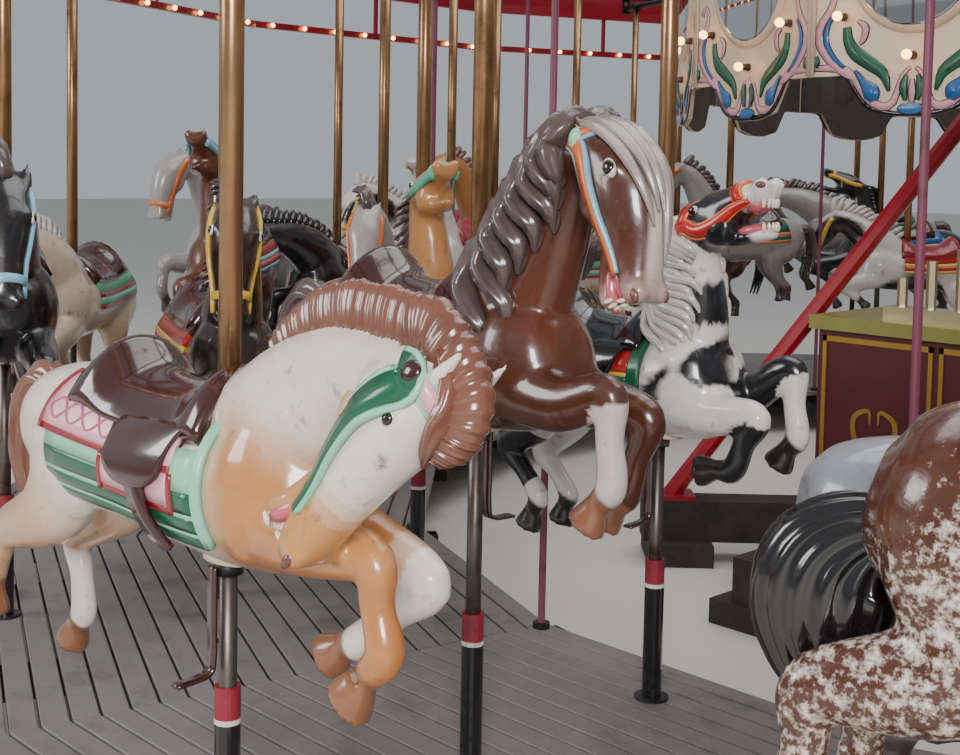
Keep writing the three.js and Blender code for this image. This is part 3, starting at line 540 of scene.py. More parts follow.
def body_rings(rump, chest):
    """The body's rings, its rear stretched to end at rump and its front to end at chest."""
    rings = np.array(BODY, float)
    x = rings[:, 0]
    rear = LOINS_X + (x - LOINS_X) * (rump - LOINS_X) / (BODY[0][0] - LOINS_X)
    front = SHOULDER_X + (x - SHOULDER_X) * (chest - SHOULDER_X) / (BODY[-1][0] - SHOULDER_X)
    rings[:, 0] = np.where(x < LOINS_X, rear, np.where(x > SHOULDER_X, front, x))
    return rings


def leg_rings(path, side, sizes):
    """Rings down a leg: root, joint, knee, cannon, fetlock and pastern; the hoof is added apart."""
    points = np.array([(x, share * side, z) for x, share, z in path], float)
    root, joint, knee, fetlock, toe = points
    mid = knee * 0.5 + fetlock * 0.5
    pastern = fetlock * 0.45 + toe * 0.55
    order = [root, joint, knee, mid, fetlock, pastern]
    return [tuple(p) + size for p, size in zip(order, sizes)], fetlock, toe


def hoof(fetlock, toe):
    """A hoof widening from the pastern to a flat sole."""
    along = (toe - fetlock) / np.linalg.norm(toe - fetlock)
    ahead = np.array([1.0, 0, 0]) - along * along[0]
    ahead /= max(np.linalg.norm(ahead), 1e-6)
    start = toe - along * 42
    rings = [tuple(start) + (31, 33), tuple(start + along * 34 + ahead * 7) + (41, 46)]
    rings.append(tuple(start + along * 66 + ahead * 12) + (48, 57))
    return Run(rings, 8)


class Horse:
    """All runs of one carved horse, scaled to metres, from its build."""

    def __init__(self, build, scale):
        rump, chest, self.style, legs = BUILDS[build]
        self.build = build
        self.scale = scale / 1000
        put = lambda rings: np.asarray(rings, float) * self.scale
        self.body = Run(put(body_rings(rump, chest)), 60)
        self.neck = Run(put(NECKS[self.style] + HEADS[self.style][:1]), 36)
        self.head = Run(put([NECKS[self.style][-1]] + HEADS[self.style]), 44)
        self.jaw = Run(put(JAWS[self.style]), 24) if self.style in JAWS else None
        self.rump, self.chest = rump / 1000, chest / 1000
        self.legs = []
        self.hooves = []
        leg_sizes = (FORE_SIZES, FORE_SIZES, HIND_SIZES, HIND_SIZES)
        for path, side, sizes in zip(legs, LEG_SIDES, leg_sizes):
            rings, fetlock, toe = leg_rings(path, side, sizes)
            self.legs.append(Run(put(rings), 34))
            self.hooves.append(Run(hoof(fetlock, toe).rings * self.scale, 8))

    def shares(self, *xs):
        """The shares along the body where its centre line is at these x, in metres."""
        return [float(body_share(self.body, x)) for x in xs]

    def ears(self):
        """Two pointed ears behind the brow, carrying on the line of the face."""
        ring, side, over = self.head.frame_at(0.20)
        s = self.scale
        up = -self.head.along[9] + over * 0.3
        up /= np.linalg.norm(up)
        made = []
        for sign in (-1, 1):
            base = ring[:3] + side * sign * 46 * s + over * ring[4] * 0.40
            tip = base + (up * 112 + side * sign * 16) * s
            mid = base * 0.55 + tip * 0.45
            sizes = [(24 * s, 19 * s), (25 * s, 15 * s), (5 * s, 4 * s)]
            made.append(Run([tuple(p) + size for p, size in zip((base, mid, tip), sizes)], 10))
        return made

    def clay(self):
        """The overlapping closed pieces that are melted into one skin."""
        s = self.scale
        pieces = [self.body.mesh(24), self.neck.mesh(20), self.head.mesh(20)]
        if self.jaw:
            pieces.append(self.jaw.mesh(14))
        pieces += [leg.mesh(14) for leg in self.legs]
        pieces += [h.mesh(14) for h in self.hooves]
        pieces += [ear.mesh(10) for ear in self.ears()]
        cheek = (0.40, 50, -44, (32, 62, 58))
        brow = (*EYES[self.style], (20, 34, 28))
        nostril = (0.88, 36, 22, (25, 32, 28))
        for sign in (-1, 1):
            for share, aside, up, radii in (cheek, brow, nostril):
                ring, side, over = self.head.frame_at(share)
                centre = ring[:3] + (side * sign * aside + over * up) * s
                pieces.append(ball(centre, np.array(radii) * s, tilt=self.tilt(share)))
            haunch = np.array([self.rump * 1000 * 0.55 - 85, sign * 95, -50.0])
            pieces.append(ball(haunch * s, np.array([140, 92, 150]) * s))
            shoulder = np.array([self.chest * 1000 * 0.55, sign * 86, 6.0])
            pieces.append(ball(shoulder * s, np.array([118, 80, 150]) * s))
        return pieces

    def tilt(self, s):
        """Columns: the head's side, its direction and its over axis at share s."""
        _, side, over = self.head.frame_at(s)
        return np.stack([side, np.cross(over, side), over], 1)


def melted(pieces, voxel, smoothing, keep):
    """One smooth skin round overlapping closed pieces: voxel remesh, then Laplacian-like smoothing,
    then short edges collapsed until the given share of the triangles is left."""
    heap = Heap()
    for points, faces in pieces:
        heap.add(points, faces, COAT)
    obj = heap.build("clay")
    remesh = obj.modifiers.new("remesh", "REMESH")
    remesh.mode = "VOXEL"
    remesh.voxel_size = voxel
    smooth = obj.modifiers.new("smooth", "SMOOTH")
    smooth.factor = 0.5
    smooth.iterations = smoothing
    collapse = obj.modifiers.new("collapse", "DECIMATE")
    collapse.ratio = keep
    made = obj.evaluated_get(bpy.context.evaluated_depsgraph_get()).to_mesh()
    points = np.zeros(len(made.vertices) * 3)
    made.vertices.foreach_get("co", points)
    made.calc_loop_triangles()
    tris = np.zeros(len(made.loop_triangles) * 3, int)
    made.loop_triangles.foreach_get("vertices", tris)
    bpy.data.objects.remove(obj)
    return points.reshape(-1, 3), tris.reshape(-1, 3)


def smoothstep(low, high, values):
    """0 up to low, 1 from high on, and a smooth rise between them."""
    t = np.clip((values - low) / (high - low), 0, 1)
    return t * t * (3 - 2 * t)


def wobble(points, scale, seed=0.0):
    """Slow waves through space, about -1 to 1, for edges of painted patches."""
    x, y, z = (points * scale + seed).T
    waves = np.sin(x + 1.7 * np.sin(y)) + np.sin(1.3 * y + 2.1 * np.sin(z))
    return (waves + np.sin(1.1 * z + 1.3 * np.sin(x))) / 3


def mixed(under, colour, share):
    """Colours with another laid over them by a share for each point."""
    return under * (1 - share[:, None]) + np.array(srgb(colour)) * share[:, None]


def set_coat(obj, colours):
    """The coat as a colour on each point; its alpha is 1 unless the coat gives one."""
    attribute = obj.data.color_attributes.new("coat", "FLOAT_COLOR", "POINT")
    values = colours if colours.shape[1] == 4 else np.hstack([colours, np.ones((len(colours), 1))])
    attribute.data.foreach_set("color", values.astype(np.float32).ravel())


def all_over(points, colour):
    """One colour for every point."""
    return np.tile(np.array(srgb(colour)), (len(points), 1))


def near_run(points, run):
    """Distance from points to a run's centre line, and the share along it of the nearest station."""
    centres = run.rings[::2, :3]
    gaps = np.linalg.norm(points[:, None, :] - centres[None], axis=2)
    nearest = gaps.argmin(1)
    return gaps[np.arange(len(points)), nearest], nearest / (len(centres) - 1)


def hoof_share(points, horse):
    """1 on the hooves and 0 away from them."""
    share = np.zeros(len(points))
    for run in horse.hooves:
        away, _ = near_run(points, run)
        share = np.maximum(share, 1 - smoothstep(0.050, 0.060, away))
    return share


def tan_coat(points, horse):
    """Tan below and in front, cream white neck, face and rump, brown hooves."""
    s = horse.scale * 1000
    x, y, z = points.T / s
    colours = all_over(points, "#e9dccd")
    chest = smoothstep(0.05, 0.22, x) * (1 - smoothstep(0.06, 0.22, z + 0.35 * (x - 0.30)))
    colours = mixed(colours, "#c07f45", np.clip(chest * (1 - smoothstep(0.50, 0.62, z)), 0, 1))
    away, along = near_run(points, horse.head)
    muzzle = smoothstep(0.55, 0.72, along) * (1 - smoothstep(0.13, 0.16, away))
    colours = mixed(colours, "#c98a50", muzzle)
    jaw = smoothstep(0.20, 0.34, along) * (1 - smoothstep(0.13, 0.16, away)) * (z < 0.30)
    under = np.clip(jaw * smoothstep(0.0, 0.06, -(x - 0.70) * 0.8 + (0.22 - z) * -0.55), 0, 1)
    colours = mixed(colours, "#c98a50", under)
    outer_foreleg = smoothstep(0.02, 0.12, -z) * smoothstep(0.15, 0.25, x) * (y < 0.02)
    colours = mixed(colours, "#b9763f", outer_foreleg)
    thighs = 0.85 * smoothstep(0.40, 0.66, -x) * (1 - smoothstep(-0.15, 0.10, z))
    colours = mixed(colours, "#c08a5a", thighs)
    for leg, start in ((1, 0.26), (3, 0.42)):
        leg_away, leg_along = near_run(points, horse.legs[leg])
        white = smoothstep(start, start + 0.12, leg_along) * (leg_away < 0.10)
        colours = mixed(colours, "#e4d9cf", white * (y > 0.02))
    return mixed(colours, "#8a5a3c", hoof_share(points, horse))


def brown_coat(points, horse):
    """Dark bay with a white blaze and pale stockings on both outer legs."""
    colours = all_over(points, "#4a2519")
    colours = mixed(colours, "#6a3a26", 0.6 * smoothstep(0.2, 0.9, wobble(points, 7.0)))
    away, along = near_run(points, horse.head)
    ring, side, over = horse.head.frame_at(along)
    height = ((points - ring[:, :3]) * over).sum(1)
    aside = ((points - ring[:, :3]) * side).sum(1)
    narrow = 1 - smoothstep(0.022, 0.036, np.abs(aside))
    blaze = smoothstep(0.030, 0.042, height) * narrow * (away < 0.14) * smoothstep(0.18, 0.26, along)
    colours = mixed(colours, "#cbb8ae", blaze)
    colours = mixed(colours, "#b89a92", smoothstep(0.74, 0.90, along) * (away < 0.12) * 0.8)
    for leg, start in ((horse.legs[0], 0.43), (horse.legs[2], 0.60)):
        leg_away, leg_along = near_run(points, leg)
        stocking = smoothstep(start, start + 0.08, leg_along) * (leg_away < 0.07)
        colours = mixed(colours, "#cdbfb6", stocking)
    return mixed(colours, "#8a5a42", hoof_share(points, horse))


def pinto_coat(points, horse):
    """White with crisp black patches on barrel, shoulder and legs, and a black head."""
    x, _, z = points.T / (horse.scale * 1000)
    colours = all_over(points, "#d9d4d0")
    patches = wobble(points, 11.0, 2.2) + 0.35 * wobble(points, 23.0, 0.7)
    black = smoothstep(0.22, 0.28, patches)
    away, along = near_run(points, horse.head)
    black = np.maximum(black, (away < 0.15) * smoothstep(0.10, 0.16, along) * (z > 0.36) * (x > 0.16))
    white_muzzle = smoothstep(0.62, 0.70, along) * (away < 0.15) * (z > 0.36)
    black = black * (1 - white_muzzle)
    front = smoothstep(0.165, 0.185, x + 0.02 * wobble(points, 30.0))
    black = np.maximum(black, front * (z > 0.20) * (z < 0.46) * (away > 0.12))
    for leg, (start, end) in zip(horse.legs, ((0.46, 1.0), (0.10, 0.46), (0.20, 0.70), (0.95, 1.0))):
        leg_away, leg_along = near_run(points, leg)
        on_leg = (leg_away < 0.085) & (leg_along > 0.12)
        shade = smoothstep(start - 0.02, start + 0.02, leg_along)
        shade = shade * smoothstep(end + 0.04, end, leg_along)
        black = np.where(on_leg, np.clip(shade, 0, 1), black)
    colours = mixed(colours, "#17171b", np.clip(black, 0, 1))
    return mixed(colours, "#24211f", hoof_share(points, horse))


def appaloosa_coat(points, horse):
    """Glossy brown; a white net spreads, by a low alpha, down the thigh and over the flank."""
    x, _, z = points.T
    colours = all_over(points, "#4c2718")
    low = 0.95 * smoothstep(0.14, -0.10, z + 0.05 * wobble(points, 7.0))
    ahead = 0.9 * smoothstep(-0.52, -0.34, x + 0.3 * z) * smoothstep(0.22, 0.04, z)
    colours = mixed(colours, "#6a4432", hoof_share(points, horse))
    return np.column_stack([colours, 1 - np.clip(low + ahead, 0, 1)])


def plain_coat(colour, belly_shade=None):
    """A coat of one colour with a second colour low down, which is painted shade: a darker copy of the
    coat under the belly.
    """
    def coat(points, horse):
        colours = all_over(points, colour)
        if belly_shade:
            z = points[:, 2] / (horse.scale * 1000)
            # painted shade: the second colour darkens the coat towards the bottom of the belly
            colours = mixed(colours, belly_shade, smoothstep(-0.02, -0.20, z))
        return mixed(colours, "#3a2c26", hoof_share(points, horse))
    return coat


def patched_coat(under, over):
    """Large patches of a second colour."""
    def coat(points, horse):
        colours = all_over(points, under)
        patches = smoothstep(0.10, 0.18, wobble(points, 8.0, 1.0))
        return mixed(mixed(colours, over, patches), "#3a2c26", hoof_share(points, horse))
    return coat


# Tack laid on a run's surface
def patch(heap, run, s_edges, angle_edges, out, materials, side=1, rows=3):
    """A thick painted cloth on a run: a grid between two shares and between angle edges; the list of
    materials colours the bands between angle edges. The edge turns down to the skin."""
    start, end = s_edges
    shares = np.append(np.linspace(start, end, 12, endpoint=False), end)
    for (a, b), material in zip(zip(angle_edges[:-1], angle_edges[1:]), materials):
        angle = np.linspace(a, b, rows + 1) * side
        s_grid, angle_grid = np.meshgrid(shares, angle, indexing="ij")
        outer = run.at(s_grid, angle_grid, out)
        inner = run.at(s_grid, angle_grid, out - 0.016)
        points, faces = shell(outer, inner)
        heap.add(points, faces, material)


def shell(outer, inner):
    """A closed skin between two grids of points of the same shape."""
    n, m = outer.shape[:2]
    index = np.arange(n * m).reshape(n, m)

    def quads(grid):
        return np.stack([grid[:-1, :-1], grid[1:, :-1], grid[1:, 1:], grid[:-1, 1:]], -1).reshape(-1, 4)

    low = index + n * m
    rim = np.concatenate([index[:, 0], index[-1, 1:], index[::-1, -1][1:], index[0, ::-1][1:]])
    rim_low = rim + n * m
    edge = np.stack([rim[:-1], rim_low[:-1], rim_low[1:], rim[1:]], -1)
    points = np.vstack([outer.reshape(-1, 3), inner.reshape(-1, 3)])
    return points, [quads(index), quads(low)[:, ::-1], edge]


def strap(heap, run, path, width, out, centre, edge=None, count=40):
    """A flat strap on a run along (share, angle) points, one width or one for each point, edged in
    another colour."""
    widths = np.broadcast_to(np.asarray(width, float), len(path))
    way = spline(np.column_stack([path, widths]), count)
    middle = run.at(way[:, 0], way[:, 1], out)
    along = unit_rows(np.gradient(middle, axis=0))
    ring, _, _ = run.frame_at(way[:, 0])
    outward = unit_rows(middle - ring[:, :3])
    across = unit_rows(np.cross(along, outward)) * way[:, 2:3]
    bands = [(-0.5, 0.5, centre)]
    if edge:
        bands = [(-0.5, -0.36, edge), (-0.36, 0.36, centre), (0.36, 0.5, edge)]
    for a, b, material in bands:
        lift = outward * (0.0015 if edge and material is centre else 0.0)
        outer = np.stack([middle + across * a + lift, middle + across * b + lift], 1)
        inner = outer - outward[:, None] * 0.014
        heap.add(*shell(outer, inner), material)


def lock(points, thick, count, sides):
    """A plain lock of hair, thick at its root and pointed at its end."""
    points = np.asarray(points, float)
    share = np.linspace(0, 1, len(points))
    wide = thick * (1 - 0.88 * share ** 1.6)
    return Run(np.column_stack([points, wide, wide * 0.9]), count).mesh(sides)


def grooved(heap, run, material, grooves, depth, sides=24, twist=2.0):
    """A carved mass of hair along a run: its section is cut by grooves that wander as they go along."""
    s = np.linspace(0, 1, run.count)[:, None]
    angle = np.linspace(0, 2 * np.pi, sides, endpoint=False)[None, :]
    broad = np.cos(grooves * angle + twist * np.sin(5 * s + angle))
    fine = 0.5 * np.sin((grooves + 2) * angle - 4 * s)
    grid = run.at(s + 0 * angle, angle + 0 * s, depth * (broad + fine))
    heap.add(*closed_tube(grid.reshape(-1, 3), run.count, sides), material)


def wavy_lock(heap, run, path, thick, material, depth, out):
    """A thick carved lock lying on a run along (share, angle) points, full in its middle and pointed at
    its end."""
    way = spline(path, 9)
    share = np.linspace(0, 1, 9)
    wide = thick * (0.55 + 0.55 * np.sin(np.pi * share ** 0.8) - 0.48 * share ** 3)
    points = run.at(way[:, 0], way[:, 1], out)
    grooved(heap, Run(np.column_stack([points, wide, wide * 0.55]), 26), material, 6, depth, 20)


def crest_mass(heap, rings, material, strands, depth):
    """A mane carved as one mass along the crest, cut across by fine strands that rise from the neck.
    The rings are those of a run; the cut is a sine along it with two slower beats."""
    sides = 18
    count = strands * 6
    run = Run(rings, count)
    s = np.linspace(0, 1, count)[:, None]
    angle = np.linspace(0, 2 * np.pi, sides, endpoint=False)[None, :]
    lean = 0.012 * np.cos(angle)
    turn = 2 * np.pi * strands * (s + lean)
    cut = depth * (np.sin(turn) + 0.6 * np.sin(turn * 0.61 + 1.0) + 0.8 * np.sin(turn * 0.13))
    grid = run.at(s + 0 * angle, angle + 0 * s, cut)
    heap.add(*closed_tube(grid.reshape(-1, 3), count, sides), material)


def combed_mane(heap, horse, material):
    """The tan horse's mane: from the withers over the crest and the poll to a blunt end on the brow."""
    neck_shares = np.array([0.16, 0.28, 0.40, 0.52, 0.64, 0.76, 0.88])
    head_shares = np.array([0.10, 0.18, 0.26, 0.33])
    tall = np.array([0.030, 0.062, 0.078, 0.084, 0.084, 0.084, 0.082, 0.078, 0.070, 0.060, 0.034])
    wide = np.array([0.014, 0.024, 0.028, 0.030, 0.031, 0.033, 0.036, 0.040, 0.044, 0.044, 0.030])
    base = np.vstack([horse.neck.at(neck_shares, 0 * neck_shares, -0.004),
                      horse.head.at(head_shares, 0 * head_shares, 0.004)])
    rings = np.column_stack([base, wide, tall, np.full(len(wide), 0.028)])
    crest_mass(heap, rings, material, 52, 0.0026)
    for sign in (-1, 1):
        path = [(0.14, 0.25 * sign), (0.24, 0.45 * sign), (0.36, 0.20 * sign)]
        wavy_lock(heap, horse.head, path, 0.028, material, 0.003, 0.020)


def swept_mane(heap, horse, material, thick, rows, reach, seed, depth, out, back):
    """Large wavy locks from the crest, swept back and down over both sides of the neck."""
    rng = np.random.default_rng(seed)
    for sign in (-1, 1):
        for i in range(rows):
            start = 0.99 - 0.80 * i / (rows - 1)
            length = reach * (0.85 + 0.3 * rng.random())
            path = [
                (start, -0.15 * sign),
                (start - 0.02, 0.35 * length * sign),
                (start - 0.55 * back, 0.62 * length * sign),
                (start - 0.70 * back, 1.00 * length * sign),
                (start - 1.25 * back, 1.12 * length * sign),
            ]
            path = [(max(share, 0.02), angle) for share, angle in path]
            wavy_lock(heap, horse.neck, path, thick * (0.85 + 0.3 * rng.random()), material, depth, out)


def forelock(heap, horse, material, seed, reach):
    """Five wavy locks from between the ears down the face."""
    rng = np.random.default_rng(seed)
    for i in range(5):
        aside = (i / 4 - 0.5) * 0.9
        length = reach * (0.7 + 0.5 * rng.random())
        path = [(0.10, aside), (0.10 + 0.4 * length, aside * 1.4 + 0.1), (0.10 + length, aside * 0.8)]
        wavy_lock(heap, horse.head, path, 0.020, material, 0.002, 0.008)


# A tail from the dock: behind its root, over it, and the share of the full thickness
FULL_TAIL = [(0.02, 0.010, 0.5), (-0.075, 0.030, 0.8), (-0.130, -0.045, 1.0), (-0.135, -0.17, 1.0),
             (-0.105, -0.30, 0.7), (-0.085, -0.42, 0.2)]
TAIL_THICKNESS = 0.062
TAIL_ROOT_Z = 0.075
TAIL_LOCKS = 8


def tail(heap, horse, material):
    """A carved tail: a full grooved mass from the dock, out behind and down, wavy locks round it."""
    s = horse.scale * 1000
    root = np.array([horse.rump + 0.03, 0, TAIL_ROOT_Z])
    behind, over, share = np.array(FULL_TAIL).T
    centre = root + np.column_stack([behind, 0 * behind, over])
    full = share[:, None] * TAIL_THICKNESS
    grooved(heap, Run(np.hstack([centre, full, full * 0.9]) * s, 40), material, 7, 0.006 * s, 32)
    for i in range(TAIL_LOCKS):
        turn = 2 * np.pi * i / TAIL_LOCKS
        aside = np.array([0.45 * np.sin(turn), np.cos(turn), 0.3 * np.sin(turn)]) * 0.52
        sway = np.array([0.0, 1.0, 0.0]) * 0.12 * np.sin(np.arange(len(share)) * 2.2 + i)[:, None]
        points = centre + (aside + sway) * full
        wide = full * 0.52
        grooved(heap, Run(np.hstack([points, wide, wide * 0.85]) * s, 26), material, 4, 0.003 * s, 14)


# A tail held close to the rump: behind its root, over it, and half its depth
CLOSE_TAIL = [(0.045, -0.035, 0.040), (-0.035, -0.045, 0.070), (-0.085, -0.090, 0.105),
              (-0.100, -0.155, 0.115), (-0.092, -0.220, 0.100), (-0.075, -0.280, 0.070),
              (-0.060, -0.325, 0.020)]


def close_tail(heap, horse, material, full):
    """A tail carved as one wide fan of hair against the rump, cut by fine grooves along it. Full is how
    far it stands out, as a share of the widest."""
    s = horse.scale * 1000
    behind, over, deep = (np.array(CLOSE_TAIL) * np.array([full, 1, full])).T
    rings = np.column_stack([horse.rump + 0.03 + behind, 0 * behind, over, 0.35 * deep + 0.022, deep])
    grooved(heap, Run(rings * s, 44), material, 17, 0.0042 * s, 68, 0.6)


def body_share(run, x):
    """The share along the body run where its centre line is at x."""
    return np.interp(x, run.rings[:, 0], np.linspace(0, 1, run.count))


def saddle(heap, horse, material, seat_to=0.10):
    """Seat, cantle and pommel in one shell over the back, and a flap on each side."""
    seat_from = -0.44
    flap_top, flap_low = 0.80, 1.62
    s = horse.scale * 1000
    x = np.linspace(seat_from, seat_to, 30)
    share = body_share(horse.body, x * s)
    angle = np.linspace(-1.0, 1.0, 25)
    grid_s, grid_a = np.meshgrid(share, angle, indexing="ij")
    cantle = 0.060 * np.exp(-((x - seat_from - 0.05) / 0.055) ** 2)
    pommel = 0.045 * np.exp(-((x - seat_to + 0.05) / 0.050) ** 2)
    rise = (0.028 + cantle + pommel)[:, None] * np.cos(np.clip(angle * 1.25, -1.5, 1.5))[None, :] ** 0.8
    outer = horse.body.at(grid_s, grid_a, 0.016 * s)
    outer[..., 2] += rise * s
    inner = horse.body.at(grid_s, grid_a, -0.010 * s)
    heap.add(*shell(outer, inner), material)
    for side in (-1, 1):
        across = np.linspace(-1, 1, 18)
        down = np.linspace(0, 1, 12)
        grid_x, grid_d = np.meshgrid(across, down, indexing="ij")
        low_edge = (1 - np.abs(grid_x) ** 3) ** (1 / 3)
        turn = (flap_top + (flap_low - flap_top) * grid_d * low_edge) * side
        flap_x = seat_to - 0.16 + 0.135 * grid_x - 0.05 * grid_d
        share = body_share(horse.body, flap_x * s)
        bulge = 0.012 * (1 - grid_x ** 2) * s
        outer = horse.body.at(share, turn, 0.026 * s + bulge)
        inner = horse.body.at(share, turn, 0.006 * s)
        heap.add(*shell(outer, inner), material)
        path = [(body_share(horse.body, (seat_to - ahead) * s), angle * side)
                for ahead, angle in ((0.20, 1.1), (0.18, 1.7), (0.13, 2.35))]
        strap(heap, horse.body, path, 0.060 * s, 0.034 * s, material)


def eyes(heap, horse, size=1.0):
    """Domed eyes: a pale rim with a dark glass centre."""
    s = horse.scale * 1000
    share, aside, up = EYES[horse.style]
    ring, side, over = horse.head.frame_at(share)
    tilt = horse.tilt(share)
    for sign in (-1, 1):
        centre = ring[:3] + (side * sign * (aside + 14) + over * up) * horse.scale
        heap.add(*ball(centre, np.array([0.010, 0.021, 0.014]) * s * size, 8, 14, tilt), EYE_WHITE)
        pupil = centre + side * sign * 0.004 * s
        heap.add(*ball(pupil, np.array([0.009, 0.0155, 0.0135]) * s * size, 8, 14, tilt), EYE_DARK)


def tooth_row(heap, run, share, below, horse, sign):
    """Seven teeth in an arc round the end of a jaw; sign +1 for the upper row, -1 for the lower."""
    s = horse.scale
    ring, side, over = run.frame_at(share)
    ahead = run.along[int(share * (run.count - 1))]
    tilt = np.stack([side, np.cross(over, side), over], 1)
    for i in range(-3, 4):
        aside = i * 11.5
        back = 2.2 * i * i
        place = ring[:3] + side * aside * s + ahead * (16 - back) * s - over * sign * below * s
        heap.add(*ball(place, np.array([6.6, 6.0, 15]) * s, 5, 8, tilt), TEETH)


def mouth(heap, horse):
    """Nostrils, and in an open mouth two rows of teeth, the pink roof and a tongue on the lower jaw."""
    s = horse.scale
    ring, side, over = horse.head.frame_at(0.90)
    ahead = horse.head.along[int(0.90 * (horse.head.count - 1))]
    for sign in (-1, 1):
        place = ring[:3] + (side * sign * 54 + over * 26 + ahead * 4) * s
        heap.add(*ball(place, np.array([8, 19, 11]) * s, 6, 10, horse.tilt(0.90)), NOSTRIL)
    tooth_row(heap, horse.head, 0.95, 30, horse, 1)
    if horse.jaw:
        tooth_row(heap, horse.jaw, 0.90, 22, horse, -1)
        place, _, jaw_over = horse.jaw.frame_at(0.55)
        tilt = np.stack([side, horse.jaw.along[14], jaw_over], 1)
        heap.add(*ball(place[:3] + jaw_over * 20 * s, np.array([34, 62, 20]) * s, 10, 16, tilt), TONGUE)
        roof = horse.head.frame_at(0.78)[0][:3] - over * 34 * s
        heap.add(*ball(roof, np.array([36, 58, 22]) * s, 8, 16, horse.tilt(0.78)), TONGUE)


def bridle(heap, horse, centre, edge, rosette=None, browband=None, leaf=1.0, noseband=False):
    """Cheek pieces, browband, rosettes and a noseband; leaf widens the top of the cheek pieces."""
    for side in (-1, 1):
        cheek = [(0.13, 1.25 * side), (0.30, 1.85 * side), (0.50, 2.0 * side), (0.74, 2.0 * side)]
        widths = [0.040 * leaf, 0.048 * leaf, 0.038 * leaf ** 0.5, 0.020]
        strap(heap, horse.head, cheek, widths, 0.008, centre, edge)
        if rosette:
            spot = horse.head.at(0.17, 1.25 * side, 0.006)
            heap.add(*ball(spot, np.array([0.012, 0.022, 0.026]), 8, 16, horse.tilt(0.17)), rosette)
    brow = [(0.17, -1.25), (0.21, -0.5), (0.21, 0.5), (0.17, 1.25)]
    strap(heap, horse.head, brow, [0.030, 0.052, 0.052, 0.030], 0.010, browband or centre, edge)
    if noseband:
        nose = [(0.66, -1.7), (0.64, -1.0), (0.64, 0.0), (0.64, 1.0), (0.66, 1.7)]
        strap(heap, horse.head, nose, 0.034, 0.007, centre, edge)


# The near horses and their looks. The share of a skin's triangles that is kept falls with distance
NEAR_KEEP = 0.70
NEXT_KEEP = 0.55
FAR_KEEP = 0.33
FAR_VOXEL = 0.019
FAR_SMOOTHING = 3
HORSE_BODY = {0: "jumper_1", 1: "jumper_2", 15: "jumper_16"}


def horse_piece(name, horse, coat, material, voxel, smoothing, k, row):
    """The skin of one horse with its coat painted on, in place of the CAD's horse."""
    points, tris = melted(horse.clay(), voxel, smoothing, NEAR_KEEP if k == 0 else NEXT_KEEP)
    obj = mesh_object(name, in_rank(points, row, k, barrel_height(row, k)), [tris], [material])
    set_coat(obj, coat(points, horse))
    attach(obj, f"{HORSE_BODY[k]}_{row}")
    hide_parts(f"horse_{k + 1}_{row}")


def placed(heap, name, k, row):
    """A heap of small pieces put at its horse's place."""
    lift = barrel_height(row, k)
    heap.points = [in_rank(points, row, k, lift) for points in heap.points]
    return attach(heap.build(name), f"{HORSE_BODY[k]}_{row}")


def degrees(*values):
    """Angles in degrees as radians."""
    return [np.radians(v) for v in values]


def barrel_height(row, k):
    """Ranks 2 and 16 stand as far from the mean height as rank 1, on the other side of it."""
    rise = RISE[row] if k == 0 else -RISE[row]
    return MEAN_BARREL + rise


def near_horse(build, row, coat, voxel, smoothing):
    """A horse of the near rank with its skin in place, and an empty heap for its tack."""
    horse = Horse(build, ROW_SCALE[row])
    horse_piece(f"{build}_horse_skin", horse, coat, COAT, voxel, smoothing, 0, row)
    return horse, Heap()


def finish_near(tack, horse, row, hair):
    """The tail and belly plate of a near horse, and all its tack put in place."""
    tail(tack, horse, hair)
    belly_plate(tack, horse)
    placed(tack, f"{horse.build}_horse_tack", 0, row)


def tan_horse():
    """Banded mint blanket, pink saddle cloth with a lattice of waves, leaf bridle and combed mane."""
    horse, tack = near_horse("tan", "outer", tan_coat, 0.0095, 6)
    at = horse.shares
    for side in (-1, 1):
        patch(tack, horse.body, at(-0.50, 0.125), degrees(60, 90, 104, 107, 117, 120, 129), 0.011,
              [LIGHT_MINT, GREEN] * 3, side)
        patch(tack, horse.body, at(0.122, 0.145), degrees(22, 126), 0.015, [LIGHT_MINT], side, rows=14)
        patch(tack, horse.body, at(-0.53, 0.03), degrees(24, 29, 74, 79), 0.017,
              [CRIMSON, PALE_PINK, CRIMSON], side, rows=6)
        patch(tack, horse.body, at(-0.53, -0.515), degrees(24, 79), 0.0185, [CRIMSON], side, rows=10)
        patch(tack, horse.body, at(-0.26, 0.04), degrees(79, 101, 106), 0.015,
              [PALE_PINK, CRIMSON], side)
        for x in (-0.26, 0.03):
            patch(tack, horse.body, at(x, x + 0.013), degrees(79, 106), 0.0165, [CRIMSON], side, rows=8)
        for swing in (-1, 1):
            waves = np.sin(np.linspace(0, 4 * np.pi, 33))
            path = [(*at(x), np.radians(60 + 8 * swing * wave) * side)
                    for x, wave in zip(np.linspace(-0.50, -0.22, 33), waves)]
            strap(tack, horse.body, path, 0.005, 0.0195, PINK, count=64)
    saddle(tack, horse, BROWN_LEATHER)
    bridle(tack, horse, GREEN, LIGHT_MINT, BROWN_LEATHER, PALE_PINK, leaf=1.7)
    strap(tack, horse.neck, [(0.98, 1.5), (0.9, 1.9), (0.86, 2.3)], 0.03, 0.008, CRIMSON)
    eyes(tack, horse, 0.8)
    mouth(tack, horse)
    combed_mane(tack, horse, MANE_BROWN)
    finish_near(tack, horse, "outer", MANE_BROWN)


